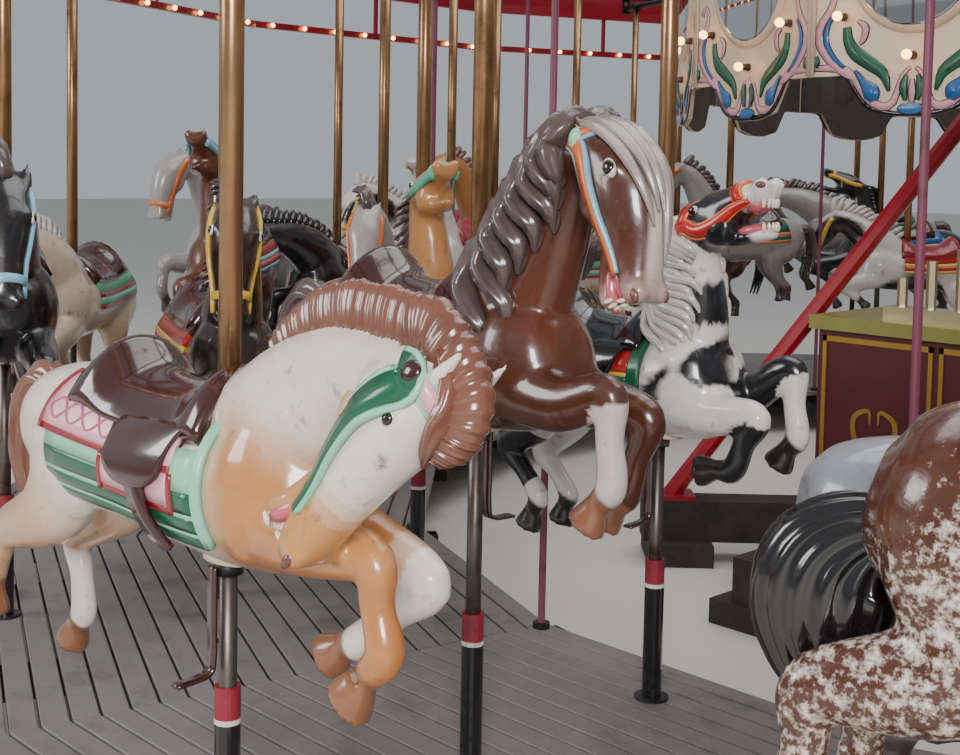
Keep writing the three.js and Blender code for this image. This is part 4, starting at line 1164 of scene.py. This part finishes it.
def brown_horse():
    """Striped blanket, orange bridle, heavy swept mane and a pale forelock."""
    horse, tack = near_horse("brown", "middle", brown_coat, 0.0095, 7)
    at = horse.shares
    for side in (-1, 1):
        patch(tack, horse.body, at(-0.50, 0.02), degrees(30, 50, 54, 72, 76, 96, 100), 0.012,
              [ORANGE, SKY, RED, SKY, GREEN, LIGHT_MINT], side)
        patch(tack, horse.body, at(0.02, 0.06), degrees(20, 104), 0.017, [SKY], side, rows=14)
    saddle(tack, horse, BROWN_LEATHER, 0.02)
    bridle(tack, horse, ORANGE, SKY, LIGHT_MINT)
    eyes(tack, horse, 1.25)
    mouth(tack, horse)
    swept_mane(tack, horse, MANE_GREY, 0.050, 8, 1.75, 11, 0.0045, 0.010, 0.20)
    forelock(tack, horse, FORELOCK_GREY, 12, 0.52)
    finish_near(tack, horse, "middle", MANE_GREY)


def pinto_horse():
    """Red and yellow blanket edged in green, red bridle with a noseband and a fine white mane."""
    horse, tack = near_horse("pinto", "inner", pinto_coat, 0.009, 6)
    at = horse.shares
    for side in (-1, 1):
        patch(tack, horse.body, at(-0.44, 0.0), degrees(30, 44, 48, 78, 82, 92), 0.012,
              [ORANGE, YELLOW, RED, YELLOW, GREEN], side)
        patch(tack, horse.body, at(0.0, 0.04), degrees(20, 96), 0.017, [GREEN], side, rows=14)
    saddle(tack, horse, BLACK_GLOSS, 0.02)
    bridle(tack, horse, RED, ORANGE, noseband=True)
    eyes(tack, horse)
    mouth(tack, horse)
    swept_mane(tack, horse, MANE_WHITE, 0.026, 15, 1.85, 21, 0.003, 0.004, 0.16)
    finish_near(tack, horse, "inner", MANE_WHITE)


def belly_plate(heap, horse):
    """The cream plate where the pole leaves the belly."""
    low = horse.body.at(body_share(horse.body, 0.0), np.pi)[2]
    plate = rod((0, 0, low - 0.008), (0, 0, low + 0.012), 0.062, 28)
    heap.add(plate[0] * np.array([1.25, 0.75, 1.0]), plate[1], CREAM)


def simple_tack(heap, horse, cloth, edge, seat, mane_material, seed, tall, cloth_from=-0.48):
    """Blanket, saddle, mane and bridle of the horses further round."""
    s = horse.scale * 1000
    for side in (-1, 1):
        patch(heap, horse.body, horse.shares(cloth_from * s, 0.06 * s), degrees(30, 72, 80, 92, 98),
              0.012, [cloth, edge, cloth, edge], side, rows=2)
    coarse_saddle(heap, horse, seat)
    coarse_mane(heap, horse, mane_material, tall, seed)
    for side in (-1, 1):
        cheek = [(0.16, 1.2 * side), (0.45, 1.6 * side), (0.84, 1.9 * side)]
        strap(heap, horse.head, cheek, 0.032, 0.008, edge, count=10)
    strap(heap, horse.head, [(0.70, -2.0), (0.70, 0.0), (0.70, 2.0)], 0.026, 0.008, edge, count=12)


def coarse_saddle(heap, horse, material):
    """A saddle as one shell over the back, raised by a bell curve at the cantle and at the pommel."""
    s = horse.scale * 1000
    x = np.linspace(-0.42, 0.08, 12)
    angle = np.linspace(-1.0, 1.0, 11)
    grid_s, grid_a = np.meshgrid(body_share(horse.body, x * s), angle, indexing="ij")
    cantle = 0.06 * np.exp(-((x + 0.37) / 0.055) ** 2)
    pommel = 0.045 * np.exp(-((x - 0.03) / 0.05) ** 2)
    outer = horse.body.at(grid_s, grid_a, 0.018 * s)
    outer[..., 2] += (0.03 + cantle + pommel)[:, None] * np.cos(angle * 1.25)[None, :] * s
    heap.add(*shell(outer, horse.body.at(grid_s, grid_a, -0.01 * s)), material)


def coarse_mane(heap, horse, material, tall, seed):
    """Fourteen plain locks along the crest, swept back."""
    rng = np.random.default_rng(seed)
    for i in range(14):
        share = 0.12 + 0.86 * i / 13
        _, side, over = horse.neck.frame_at(share)
        back = -horse.neck.along[int(share * (horse.neck.count - 1))]
        base = horse.neck.at(share, 0.0, -0.015)
        reach = tall * (0.8 + 0.4 * rng.random())
        out = base + over * reach + back * reach * 0.6 - side * 0.05
        points = [base, (base + out) / 2 + over * 0.02, out - side * 0.03 - over * 0.04]
        heap.add(*lock(points, 0.030, 6, 5), material)


def coarse_tail(heap, horse, material):
    """Three plain locks from the dock, out behind and down."""
    s = horse.scale * 1000
    root = np.array([horse.rump + 0.03, 0, 0.07])
    for aside in (-0.02, 0.0, 0.02):
        steps = [(0, 0, 0), (-0.11, aside, 0.0), (-0.14, aside * 2, -0.2), (-0.08, aside * 2.4, -0.40)]
        heap.add(*lock((root + np.array(steps)) * s, 0.05 * s, 10, 6), material)


# Ranks 2 and 16: build, coat and its finish, blanket, its edge, saddle, hair and voxel size
# The second colour of a plain coat is painted shade under the belly, a darker copy of the coat
SILVER_COAT = plain_coat("#8c8f98", "#6d6f78")
TAN_COAT = plain_coat("#b9824e", "#a06c3c")
NEXT_LOOKS = {
    (1, "outer"): ("appaloosa", appaloosa_coat, CRACKLED, GREEN, ORANGE, BLACK_GLOSS, MANE_BLACK, 0.010),
    (1, "middle"): ("silver", SILVER_COAT, COAT, RED, SKY, BLACK_GLOSS, MANE_BLACK, 0.011),
    (1, "inner"): ("short", plain_coat("#1a181b"), COAT, ORANGE, YELLOW, BROWN_LEATHER, MANE_BLACK, 0.014),
    (15, "outer"): ("level", plain_coat("#161418"), COAT, BLUE, SKY, BROWN_LEATHER, MANE_GREY, 0.011),
    (15, "middle"): ("high", plain_coat("#2a1b16"), COAT, RED, YELLOW, BROWN_LEATHER, MANE_BLACK, 0.013),
    (15, "inner"): ("thrown", TAN_COAT, COAT, ORANGE, MINT, BROWN_LEATHER, MANE_GREY, 0.013),
}


def next_horses():
    """Ranks 2 and 16: coats and tack of each horse at its own height."""
    for (k, row), (build, coat, material, cloth, edge, seat, hair, voxel) in NEXT_LOOKS.items():
        horse = Horse(build, ROW_SCALE[row])
        name = f"horse_{k + 1}_{row}"
        horse_piece(name + "_skin", horse, coat, material, voxel, 5, k, row)
        tack = Heap()
        cloth_from, full = (-0.26, 1.0) if build == "appaloosa" else (-0.48, 0.55)
        simple_tack(tack, horse, cloth, edge, seat, hair, 31 + k, 0.14, cloth_from)
        eyes(tack, horse)
        close_tail(tack, horse, hair, full)
        poles(tack)
        placed(tack, name + "_tack", k, row)


def poles(heap):
    """Steel pole below the belly and brass above it, in the horse's own axes."""
    low = POLE_ABOVE_FLOOR + 0.5 * STROKE - MEAN_BARREL
    heap.add(*rod((0, 0, low), (0, 0, -0.14), STEEL_RADIUS, 20), STEEL)
    heap.add(*rod((0, 0, -0.15), (0, 0, low + POLE_TOP_OVER_LOW), BRASS_RADIUS, 24), BRASS)


# Further round: coat, blanket, its edge, saddle and hair
FAR_COATS = [
    # Where a plain coat has a second colour, it is painted shade under the belly
    (patched_coat("#cfc9c4", "#1c1a1d"), RED, YELLOW, CRIMSON, MANE_WHITE),
    (plain_coat("#151317"), BLUE, YELLOW, BROWN_LEATHER, MANE_BLACK),
    (plain_coat("#9a948f", "#7c7672"), GREEN, ORANGE, BROWN_LEATHER, MANE_GREY),
    (plain_coat("#5a2f1c", "#3c2016"), RED, SKY, BLACK_GLOSS, MANE_BLACK),
    (plain_coat("#cdbba4", "#b79b7c"), MINT, CRIMSON, BROWN_LEATHER, MANE_WHITE),
    (plain_coat("#a8703c", "#8c5a2e"), ORANGE, GREEN, BLACK_GLOSS, MANE_BROWN),
]
FAR_STYLES = ["level", "high", "bowed", "thrown"]


def far_rank(k):
    """One rank further round: its three horses, tack, poles and overhead shaft. The heights follow a
    sine of rank and row, rounded to whole millimetres as in the CAD."""
    skins = []
    colours = []
    tris = []
    count = 0
    heap = Heap()
    for i, row in enumerate(ROWS):
        phase = 2 * np.pi * (k * 5 + i * 4) / 12
        rise = np.round((STROKE * 500 - 10) * np.sin(phase)) / 1000
        lift = MEAN_BARREL + rise
        style = FAR_STYLES[(k + i) % len(FAR_STYLES)]
        coat, cloth, edge, seat, hair = FAR_COATS[(2 * k + i * 5) % len(FAR_COATS)]
        horse = Horse(style, ROW_SCALE[row])
        points, faces = clay_cache(style, row)
        skins.append(in_rank(points, row, k, lift))
        colours.append(coat(points, horse))
        tris.append(faces + count)
        count += len(points)
        tack = Heap()
        simple_tack(tack, horse, cloth, edge, seat, hair, 100 + k * 3 + i, 0.12)
        coarse_tail(tack, horse, hair)
        tack.add(*rod((0, 0, SLEEVE_HEIGHT - lift), (0, 0, -0.12), FAR_STEEL_RADIUS, 12), STEEL)
        tack.add(*rod((0, 0, -0.13), (0, 0, SHAFT_Z - PLATFORM_TOP - lift), BRASS_RADIUS, 14), BRASS)
        for points, faces, material in unpacked(tack):
            heap.add(in_rank(points, row, k, lift), faces, material)
    skin = mesh_object(f"rank_{k + 1}_skins", np.vstack(skins), [np.vstack(tris)], [COAT])
    set_coat(skin, np.vstack(colours))
    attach(skin, "turntable")
    crank_gear(heap, k)
    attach(heap.build(f"rank_{k + 1}_tack"), "turntable")
    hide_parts(f"rank_{k + 1}")


def unpacked(heap):
    """The pieces of a heap again, each as points, faces and material."""
    blocks = {}
    for groups, numbers in ((heap.quads, heap.quad_materials), (heap.tris, heap.tri_materials)):
        for block, number in zip(groups, numbers):
            blocks.setdefault(int(number[0]), []).append(block)
    points = np.concatenate(heap.points)
    for number, parts in blocks.items():
        used = np.unique(np.concatenate([part.ravel() for part in parts]))
        new = np.zeros(len(points), int)
        new[used] = np.arange(len(used))
        yield points[used], [new[part] for part in parts], heap.materials[number]


# Melted skins of the further ranks, by style and row
CLAY = {}


def clay_cache(style, row):
    """The melted skin for a style and row, made once."""
    if (style, row) not in CLAY:
        clay = Horse(style, ROW_SCALE[row]).clay()
        CLAY[(style, row)] = melted(clay, FAR_VOXEL, FAR_SMOOTHING, FAR_KEEP)
    return CLAY[(style, row)]


# The overhead crankshafts and the spreaders that carry them
SHAFT_OUTER_END = 5.370
SHAFT_INNER_END = 3.470
SPREADER_RADII = (3.510, 5.330)
SPREADER_HALF = 0.035


def crank_gear(heap, k):
    """Shaft, spreaders, bearing blocks and cranks over one rank, in the world."""
    z = SHAFT_Z
    put = lambda piece, material: heap.add_turned(piece, k * STEP, material)
    put(rod((0, -SHAFT_OUTER_END, z), (0, -SHAFT_INNER_END, z), 0.024, 16), BLACK_IRON)
    for radius in SPREADER_RADII:
        half = (radius - SPREADER_HALF) * np.tan(STEP / 2) - 0.002
        low = (-half, -radius - SPREADER_HALF, z + 0.08)
        high = (half, -radius + SPREADER_HALF, SWEEP_LOW - 0.0005)
        put(box_mesh(low, high), TIMBER)
        low, high = (-0.030, -radius - 0.015, z - 0.04), (0.030, -radius + 0.015, z + 0.085)
        put(box_mesh(low, high), BLACK_IRON)
    for row in ROWS:
        radius = ROW_RADIUS[row]
        put(rod((0, -radius - 0.03, z), (0, -radius + 0.03, z), 0.034, 14), BLACK_IRON)


# Platform
BOARDS = 24
BOARD_GAP = 0.009
BOARD_BEVEL = 0.003
BOARD_THICKNESS = 0.030
JOIST_LOW = PLATFORM_TOP - 0.135
JOIST_TOP = PLATFORM_TOP - 0.030
JOIST_X = 0.43
JOIST_HALF = 0.03


def deck():
    """Two sections to a piece: boards mitred on the radial seams, joists, pole sleeves and hangers."""
    for pair in range(SECTIONS // 2):
        heap = Heap()
        for k in (2 * pair, 2 * pair + 1):
            section_boards(heap, k)
            section_joists(heap, k)
            for row in ROWS:
                sleeve(heap, row, k)
            hanger(heap, k)
        obj = heap.build(f"platform_{pair + 1}_boards", smooth=False)
        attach(obj, "turntable")
        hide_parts(f"platform_{pair + 1}")


def section_boards(heap, k):
    """Closed boards with bevelled upper edges, longer the further they lie from the mast."""
    pitch = (OUTER_SIDE - INNER_SIDE) / BOARDS
    top, bevel, low = PLATFORM_TOP, PLATFORM_TOP - BOARD_BEVEL, PLATFORM_TOP - BOARD_THICKNESS
    sides = np.array([(-1, 0), (1, 0), (1, 1), (-1, 1)])
    inward = np.array([(-1, -1), (-1, -1), (-1, 1), (-1, 1)]) * BOARD_BEVEL
    quads = [[0, 1, 2, 3], [8, 11, 10, 9]]
    for a in (0, 4):
        quads += [[a + j, a + 4 + j, a + 4 + (j + 1) % 4, a + (j + 1) % 4] for j in range(4)]
    for i in range(BOARDS):
        start = INNER_SIDE + i * pitch
        y = np.array([start + BOARD_GAP / 2, INNER_SIDE + (i + 1) * pitch - BOARD_GAP / 2])
        half = y * np.tan(STEP / 2) - 0.003
        far = sides[:, 1]
        corners = np.column_stack([sides[:, 0] * half[far], -y[far]])
        drawn_in = np.column_stack([sides[:, 0] * (half[far] + inward[:, 0]), -y[far] + inward[:, 1]])
        points = np.vstack([
            np.column_stack([corners, np.full(4, low)]),
            np.column_stack([corners, np.full(4, bevel)]),
            np.column_stack([drawn_in, np.full(4, top)]),
        ])
        heap.add_turned((points, [quads]), k * STEP, BOARD)


def section_joists(heap, k):
    """Two joists under a section, a beam on each seam and the crimson skirt along the outer edge."""
    inner, outer, half = INNER_SIDE, OUTER_SIDE, JOIST_HALF

    def put(low, high, material, angle=0.0):
        heap.add_turned(box_mesh(low, high), k * STEP + angle, material)

    for x in (-JOIST_X, JOIST_X):
        put((x - half, -outer + 0.025, JOIST_LOW), (x + half, -inner - 0.025, JOIST_TOP), BEAM)
    for side in (-1, 1):
        seam = side * STEP / 2 * 0.985
        put((-half, -outer, JOIST_LOW + 0.040), (half, -inner, JOIST_TOP), BEAM, seam)
    skirt = outer * np.tan(STEP / 2) * 0.99
    put((-skirt, -outer, JOIST_LOW + 0.060), (skirt, -outer + 0.02, JOIST_TOP - 0.002), CRIMSON)


def ring_rod(heap, row, k, z0, z1, radius, material):
    """An upright round bar on a row's circle, from one height over the platform to another."""
    start, end = ((0, -ROW_RADIUS[row], PLATFORM_TOP + z) for z in (z0, z1))
    heap.add_turned(rod(start, end, radius, 20), k * STEP, material)


def sleeve(heap, row, k):
    """Floor sleeve: iron foot plate, black tube, white ring and red band."""
    tube_top, ring_top = 0.345, 0.357
    ring_rod(heap, row, k, 0.0, 0.008, 0.052, BLACK_IRON)
    ring_rod(heap, row, k, 0.0, tube_top, 0.0296, BLACK_GLOSS)
    ring_rod(heap, row, k, tube_top, ring_top, 0.0299, WHITE_BAND)
    ring_rod(heap, row, k, ring_top, SLEEVE_HEIGHT, 0.0294, RED_BAND)


def hanger(heap, k):
    """The rod from a sweep down to the platform's inner corner, with its foot nut."""
    x, y, floor = 0.026, -(INNER_CORNER + 0.045), PLATFORM_TOP
    for top, radius, sides, material in (
        (SWEEP_LOW - 0.001, 0.0130, 14, MAUVE), (floor + 0.02, 0.030, 12, BLACK_IRON),
    ):
        heap.add_turned(rod((x, y, floor), (x, y, top), radius, sides), (k - 0.5) * STEP, material)


# Near poles
def near_poles():
    """The poles of rank 1 with the collar under each belly and its foot bar."""
    for row in ROWS:
        heap = Heap()
        poles(heap)
        top = -0.195 * ROW_SCALE[row]
        heap.add(*rod((0, 0, top - 0.030), (0, 0, top), 0.0335, 18), BLACK_IRON)
        foot_bar(heap, row, top)
        obj = placed(heap, f"pole_1_{row}_finish", 0, row)
        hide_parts(f"pole_1_{row}")


def foot_bar(heap, row, top):
    """A flat leather-brown bar hung from the collar, turned out at its foot."""
    side = FOOT_BAR_SIDE[row]
    near, toe, low = 0.042, 0.136, top - 0.257
    half_width, thickness = 0.0150, 0.007
    path = [(near, top - 0.008), (near, top - 0.06), (near, top - 0.14), (near, low + 0.05),
            (near + 0.014, low + 0.010), (toe, low + 0.002)]
    way = spline([(0, out * side, z) for out, z in path], 36)
    along = unit_rows(np.gradient(way, axis=0))
    across = np.array([half_width, 0, 0])
    normal = np.cross(along, [1.0, 0, 0])
    middle = way + normal * thickness / 2
    outer = np.stack([middle - across, middle + across], 1)
    heap.add(*shell(outer, outer - normal[:, None] * thickness), BROWN_LEATHER)


# Rim, cornice and lamps
def lamp(heap, k, place, size, socket=0.0):
    """A globe lamp, and behind it a metal socket of the given length."""
    place = np.array(place, float)
    heap.add_turned(ball(place, np.full(3, size), 7, 12), k * STEP, BULB)
    if socket:
        start = place + (0, size * 0.8, 0)
        heap.add_turned(rod(start, start + (0, socket, 0), size * 0.6, 12, size * 0.9), k * STEP, STEEL)


def rim_lamps():
    """Small lamps all along the top of the crimson lamp rail."""
    heap = Heap()
    y = 0.066 - RIM_CORNER * np.cos(STEP / 2)
    half = RIM_CORNER * np.sin(STEP / 2)
    per_side = 8
    for k in range(SECTIONS):
        for i in range(per_side):
            x = (i + 0.5) / per_side * 2 * half - half
            lamp(heap, k, (x, y, LIGHT_RAIL_Z + 0.022), 0.017)
    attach(heap.build("rim_lamps"), "turntable")


def stroke(points, widths, y, material, heap, k, count=20):
    """A painted flourish on a cornice panel: a flat band along a curve, thinner at its ends."""
    way = spline(np.column_stack([points, widths]), count)
    along = np.gradient(way[:, :2], axis=0)
    along /= np.linalg.norm(along, axis=1)[:, None] + 1e-9
    across = np.column_stack([-along[:, 1], along[:, 0]]) * way[:, 2:3]
    grid = np.stack([way[:, :2] + across, way[:, :2] - across], 1)
    flat_piece(heap, k, grid[..., 0], grid[..., 1], y, y + 0.004, material)


def flat_piece(heap, k, x, z, front, back, material):
    """A flat closed piece on a panel, between two depths, from a grid of its x and z."""
    skins = [np.stack([x, np.full(x.shape, y), z], -1) for y in (front, back)]
    heap.add_turned(shell(*skins), k * STEP, material)


def cornice_front():
    """Sixteen cream panels: pink scalloped edge, oval mirror, scrolls, leaves, drops and lamps."""
    heap = Heap()
    side = CORNICE_CORNER * np.cos(STEP / 2)
    for k in range(SECTIONS):
        panel_back(heap, k, -side)
        panel_scrolls(heap, k, -side)
        panel_middle(heap, k, -side)
    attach(heap.build("cornice_ornament"), "turntable")


def panel_back(heap, k, y):
    """The grey inner face of a panel, down to its scalloped edge."""
    x = np.linspace(-0.424, 0.424, 60)
    outline_x = [0, 0.052, 0.183, 0.270, 0.43]
    outline_z = [LOBE_LOW, LOBE_LOW, LOBE_LOW + 0.030, CORNICE_EDGE, CORNICE_EDGE]
    low = np.interp(np.abs(x), outline_x, outline_z) + 0.003
    z = np.column_stack([low, np.full(len(x), PANEL_TOP)])
    flat_piece(heap, k, np.column_stack([x, x]), z, y + 0.0268, y + 0.0278, PANEL_GREY)


# Ornament of half a panel: colour, half widths, and points as x from the middle and height over
# the corner's lower edge
PANEL_ORNAMENT = [
    (PALE_PINK, [0.008, 0.013, 0.014, 0.014, 0.014, 0.014, 0.013, 0.010, 0.008, 0.003],
     [(0.425, 0.030), (0.33, 0.030), (0.262, 0.012), (0.215, -0.048), (0.172, -0.098), (0.115, -0.122),
      (0.075, -0.105), (0.055, -0.05), (0.035, 0.0), (0.008, 0.022)]),
    (PALE_PINK, [0.013, 0.006, 0.010, 0.013, 0.015, 0.015, 0.014, 0.011, 0.004],
     [(0.39, 0.315), (0.36, 0.350), (0.335, 0.315), (0.352, 0.255), (0.396, 0.190), (0.398, 0.125),
      (0.355, 0.065), (0.30, 0.015), (0.235, -0.020)]),
    (BLUE, [0.003, 0.009, 0.010, 0.008, 0.003],
     [(0.338, 0.235), (0.366, 0.180), (0.364, 0.120), (0.328, 0.065), (0.285, 0.030)]),
    (LEAF, [0.014, 0.019, 0.025, 0.024, 0.018, 0.003],
     [(0.278, 0.185), (0.270, 0.130), (0.240, 0.085), (0.180, 0.045), (0.118, 0.0), (0.094, -0.065)]),
    (PALE_PINK, [0.004, 0.012, 0.010, 0.003],
     [(0.232, 0.205), (0.200, 0.180), (0.203, 0.140), (0.222, 0.115)]),
    (BLUE, [0.003, 0.012, 0.031, 0.014],
     [(0.237, 0.018), (0.203, -0.025), (0.165, -0.068), (0.150, -0.098)]),
    (LEAF, [0.014, 0.017, 0.010], [(0.418, 0.075), (0.412, 0.055), (0.416, 0.036)]),
    (LEAF, [0.004, 0.013, 0.004], [(0.024, -0.005), (0.034, -0.050), (0.024, -0.100)]),
]
# The scalloped edge itself, painted black like a shadow
PANEL_SHADOW = [(0.43, 0.009), (0.33, 0.009), (0.272, -0.004), (0.232, -0.062), (0.184, -0.116),
                (0.12, -0.139), (0.05, -0.148), (0.0, -0.148)]
LEAF_VEIN = [(0.262, 0.120), (0.205, 0.058), (0.130, 0.002)]
LILY = [(0, -0.020), (0, -0.065), (0, -0.110)]
OUTLINE = 0.0035
PANEL_LAMP = 0.019
SOCKET = 0.034


def over_edge(points, sign=1):
    """Points of half a panel as world x and z; sign -1 gives the left half."""
    return [(sign * x, CORNICE_EDGE + z) for x, z in points]


def panel_scrolls(heap, k, y):
    """Both halves of a panel's ornament, each flourish on a wider black one, and its corner posts."""
    front = y + 0.001
    post_x = CORNICE_CORNER * np.sin(STEP / 2) - 0.010
    for sign in (-1, 1):
        shadow = over_edge(PANEL_SHADOW, sign)
        stroke(shadow, [0.010] * len(shadow), front - 0.0005, BLACK_GLOSS, heap, k)
        for i, (colour, widths, points) in enumerate(PANEL_ORNAMENT):
            path = over_edge(points, sign)
            layer = front - 0.001 - 0.0008 * i
            stroke(path, [w + OUTLINE for w in widths], layer, BLACK_GLOSS, heap, k, 16)
            stroke(path, widths, layer - 0.0012, colour, heap, k, 16)
        stroke(over_edge(LEAF_VEIN, sign), [0.0018] * 3, front - 0.006, BLACK_GLOSS, heap, k, 8)
        post = [(sign * post_x, CORNICE_EDGE + 0.004), (sign * post_x, POST_TOP)]
        stroke(post, [0.011, 0.011], front - 0.008, CREAM, heap, k, 4)
        lamp(heap, k, (sign * 0.292, y - 0.052, CORNICE_EDGE + 0.222), PANEL_LAMP, SOCKET)


def panel_middle(heap, k, y):
    """The lily and the blue oval at the lowest point, the mirror in its ring, mouldings and a lamp."""
    front = y + 0.001
    lily = over_edge(LILY)
    stroke(lily, [0.008, 0.017, 0.010], front - 0.003, BLACK_GLOSS, heap, k, 14)
    stroke(lily, [0.005, 0.013, 0.007], front - 0.0045, PALE_PINK, heap, k, 14)
    oval(heap, k, -0.130, 0.056, 0.024, front - 0.006, BLACK_GLOSS, 0.002)
    oval(heap, k, -0.130, 0.051, 0.020, front - 0.008, BLUE, 0.002)
    oval(heap, k, 0.455, 0.285, 0.310, front, CREAM, 0.016)
    oval(heap, k, 0.455, 0.268, 0.293, front - 0.006, MIRROR, 0.012)
    end = CORNICE_CORNER * np.sin(STEP / 2) - 0.02
    for z in (0.86, 1.02):
        stroke(over_edge([(-end, z), (end, z)]), [0.022, 0.022], front - 0.002, ROSE_CREAM, heap, k, 4)
    lamp(heap, k, (0.0, y - 0.052, CORNICE_EDGE + 0.065), PANEL_LAMP, SOCKET)


def oval(heap, k, z, wide, tall, y, material, depth):
    """A flat oval plate in the middle of a panel, drawn in a little at its front."""
    sides = 40
    angle = np.linspace(0, 2 * np.pi, sides, endpoint=False)
    rings = []
    for ring_y, share in ((y + 0.004, 1.0), (y - depth * 0.6, 1.0), (y - depth, 0.93)):
        ring_x = wide * share * np.cos(angle)
        ring_z = CORNICE_EDGE + z + tall * share * np.sin(angle)
        rings.append(np.column_stack([ring_x, np.full(sides, ring_y), ring_z]))
    heap.add_turned(closed_tube(np.vstack(rings), len(rings), sides), k * STEP, material)


# Centre
ORGAN_FRONT = -1.360
MOULDING = 0.02
CURL = [(0, 0.62), (0.09, 0.70), (0.10, 0.80), (0.03, 0.84), (0.02, 0.78)]


def organ_front():
    """Gold mouldings round three panels of the dark red case, and a generic gold curl in each half."""
    heap = Heap()
    back, front = ORGAN_FRONT + 0.004, ORGAN_FRONT - 0.008
    low, high = 0.36, 1.16
    for x0, x1 in ((-0.84, -0.30), (-0.27, 0.27), (0.30, 0.84)):
        for left, right, bottom, top in (
            (x0, x1, low, low + 0.025), (x0, x1, high - 0.025, high),
            (x0, x0 + MOULDING, low, high), (x1 - MOULDING, x1, low, high),
        ):
            heap.add(*box_mesh((left, front, bottom), (right, back, top)), GOLD)
        for sign in (-1, 1):
            curl = [((x0 + x1) / 2 + sign * x, z) for x, z in CURL]
            stroke(curl, [0.006, 0.012, 0.012, 0.008, 0.003], ORGAN_FRONT - 0.004, GOLD, heap, 0)
    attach(heap.build("organ_mouldings", smooth=False), "centre")


# CAD nodes that keep their shape and get a finish
NODE_FINISHES = {
    "sweep_frame": TIMBER, "outer_rim": CRIMSON, "inner_cornice": CREAM, "centre_mast": TIMBER,
    "organ_case": ORGAN_RED, "organ_top": GILT_BOARD, "organ_pipes": PIPE, "centre_sills": TIMBER,
    **{f"crankshaft_{rank}": BLACK_IRON for rank in (1, 2, 16)},
    **{f"centre_brace_{quarter}": RED_STEEL for quarter in range(1, 5)},
}


def dress_nodes():
    """Each of these nodes gets its finish as its only material."""
    for node, material in NODE_FINISHES.items():
        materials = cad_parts[node].data.materials
        materials.clear()
        materials.append(material)


# Stage and camera
PHOTO_WIDTH = 960
SENSOR_WIDTH = 36
FOCAL_PIXELS = 1355.6
SHIFT_PIXELS = -120.9
EYE = (2.507, -6.821, 1.893)
YAW_PITCH_ROLL = (-45.88, 3.72, -1.10)


def camera():
    """The photograph's viewpoint, from the fit to the pole lines and platform seams."""
    yaw, pitch, roll = np.radians(YAW_PITCH_ROLL)
    ahead = np.array([np.sin(yaw) * np.cos(pitch), np.cos(yaw) * np.cos(pitch), -np.sin(pitch)])
    right = np.array([np.cos(yaw), -np.sin(yaw), 0.0])
    down = np.cross(ahead, right)
    across = np.cos(roll) * right + np.sin(roll) * down
    below = -np.sin(roll) * right + np.cos(roll) * down
    data = bpy.data.cameras.new("camera")
    data.lens = FOCAL_PIXELS * SENSOR_WIDTH / PHOTO_WIDTH
    data.sensor_width = SENSOR_WIDTH
    data.shift_y = SHIFT_PIXELS / PHOTO_WIDTH
    obj = bpy.data.objects.new("camera", data)
    matrix = np.eye(4)
    matrix[:3, 0], matrix[:3, 1], matrix[:3, 2] = across, -below, -ahead
    matrix[:3, 3] = EYE
    obj.matrix_world = Matrix(matrix.tolist())
    bpy.context.scene.collection.objects.link(obj)
    bpy.context.scene.camera = obj


def stage():
    """A pale floor, a soft bright sky and three broad lamps."""
    reach = 60
    corners = np.array([(x, y, 0) for x, y in ((-1, -1), (1, -1), (1, 1), (-1, 1))], float) * reach
    finish = paint("pale floor", "#cfcbc4", rough=0.9, grain=0.01)
    floor = mesh_object("floor", corners, [[[0, 1, 2, 3]]], [finish], smooth=False)
    world = bpy.data.worlds.new("soft light")
    world.use_nodes = True
    world.node_tree.nodes["Background"].inputs["Color"].default_value = srgb("#dfe6ee") + [1.0]
    world.node_tree.nodes["Background"].inputs["Strength"].default_value = 0.55
    bpy.context.scene.world = world
    for name, place, target, size, power in (
        ("key", (6.5, -11.0, 4.6), (0.3, -4.6, 1.3), 2.5, 900),
        ("fill", (-6.0, -11.5, 5.0), (-1.0, -3.5, 1.2), 4.0, 500),
        ("top", (0.0, 0.0, 9.0), (0.0, 0.0, 0.0), 9.0, 700),
    ):
        data = bpy.data.lights.new(name, "AREA")
        data.size = size
        data.energy = power
        light = bpy.data.objects.new(name, data)
        light.location = place
        light.rotation_euler = (Vector(target) - Vector(place)).to_track_quat("-Z", "Y").to_euler()
        bpy.context.scene.collection.objects.link(light)


tan_horse()
brown_horse()
pinto_horse()
next_horses()
near_poles()
for rank in range(2, SECTIONS - 1):
    far_rank(rank)
deck()
rim_lamps()
cornice_front()
organ_front()
dress_nodes()
camera()
stage()
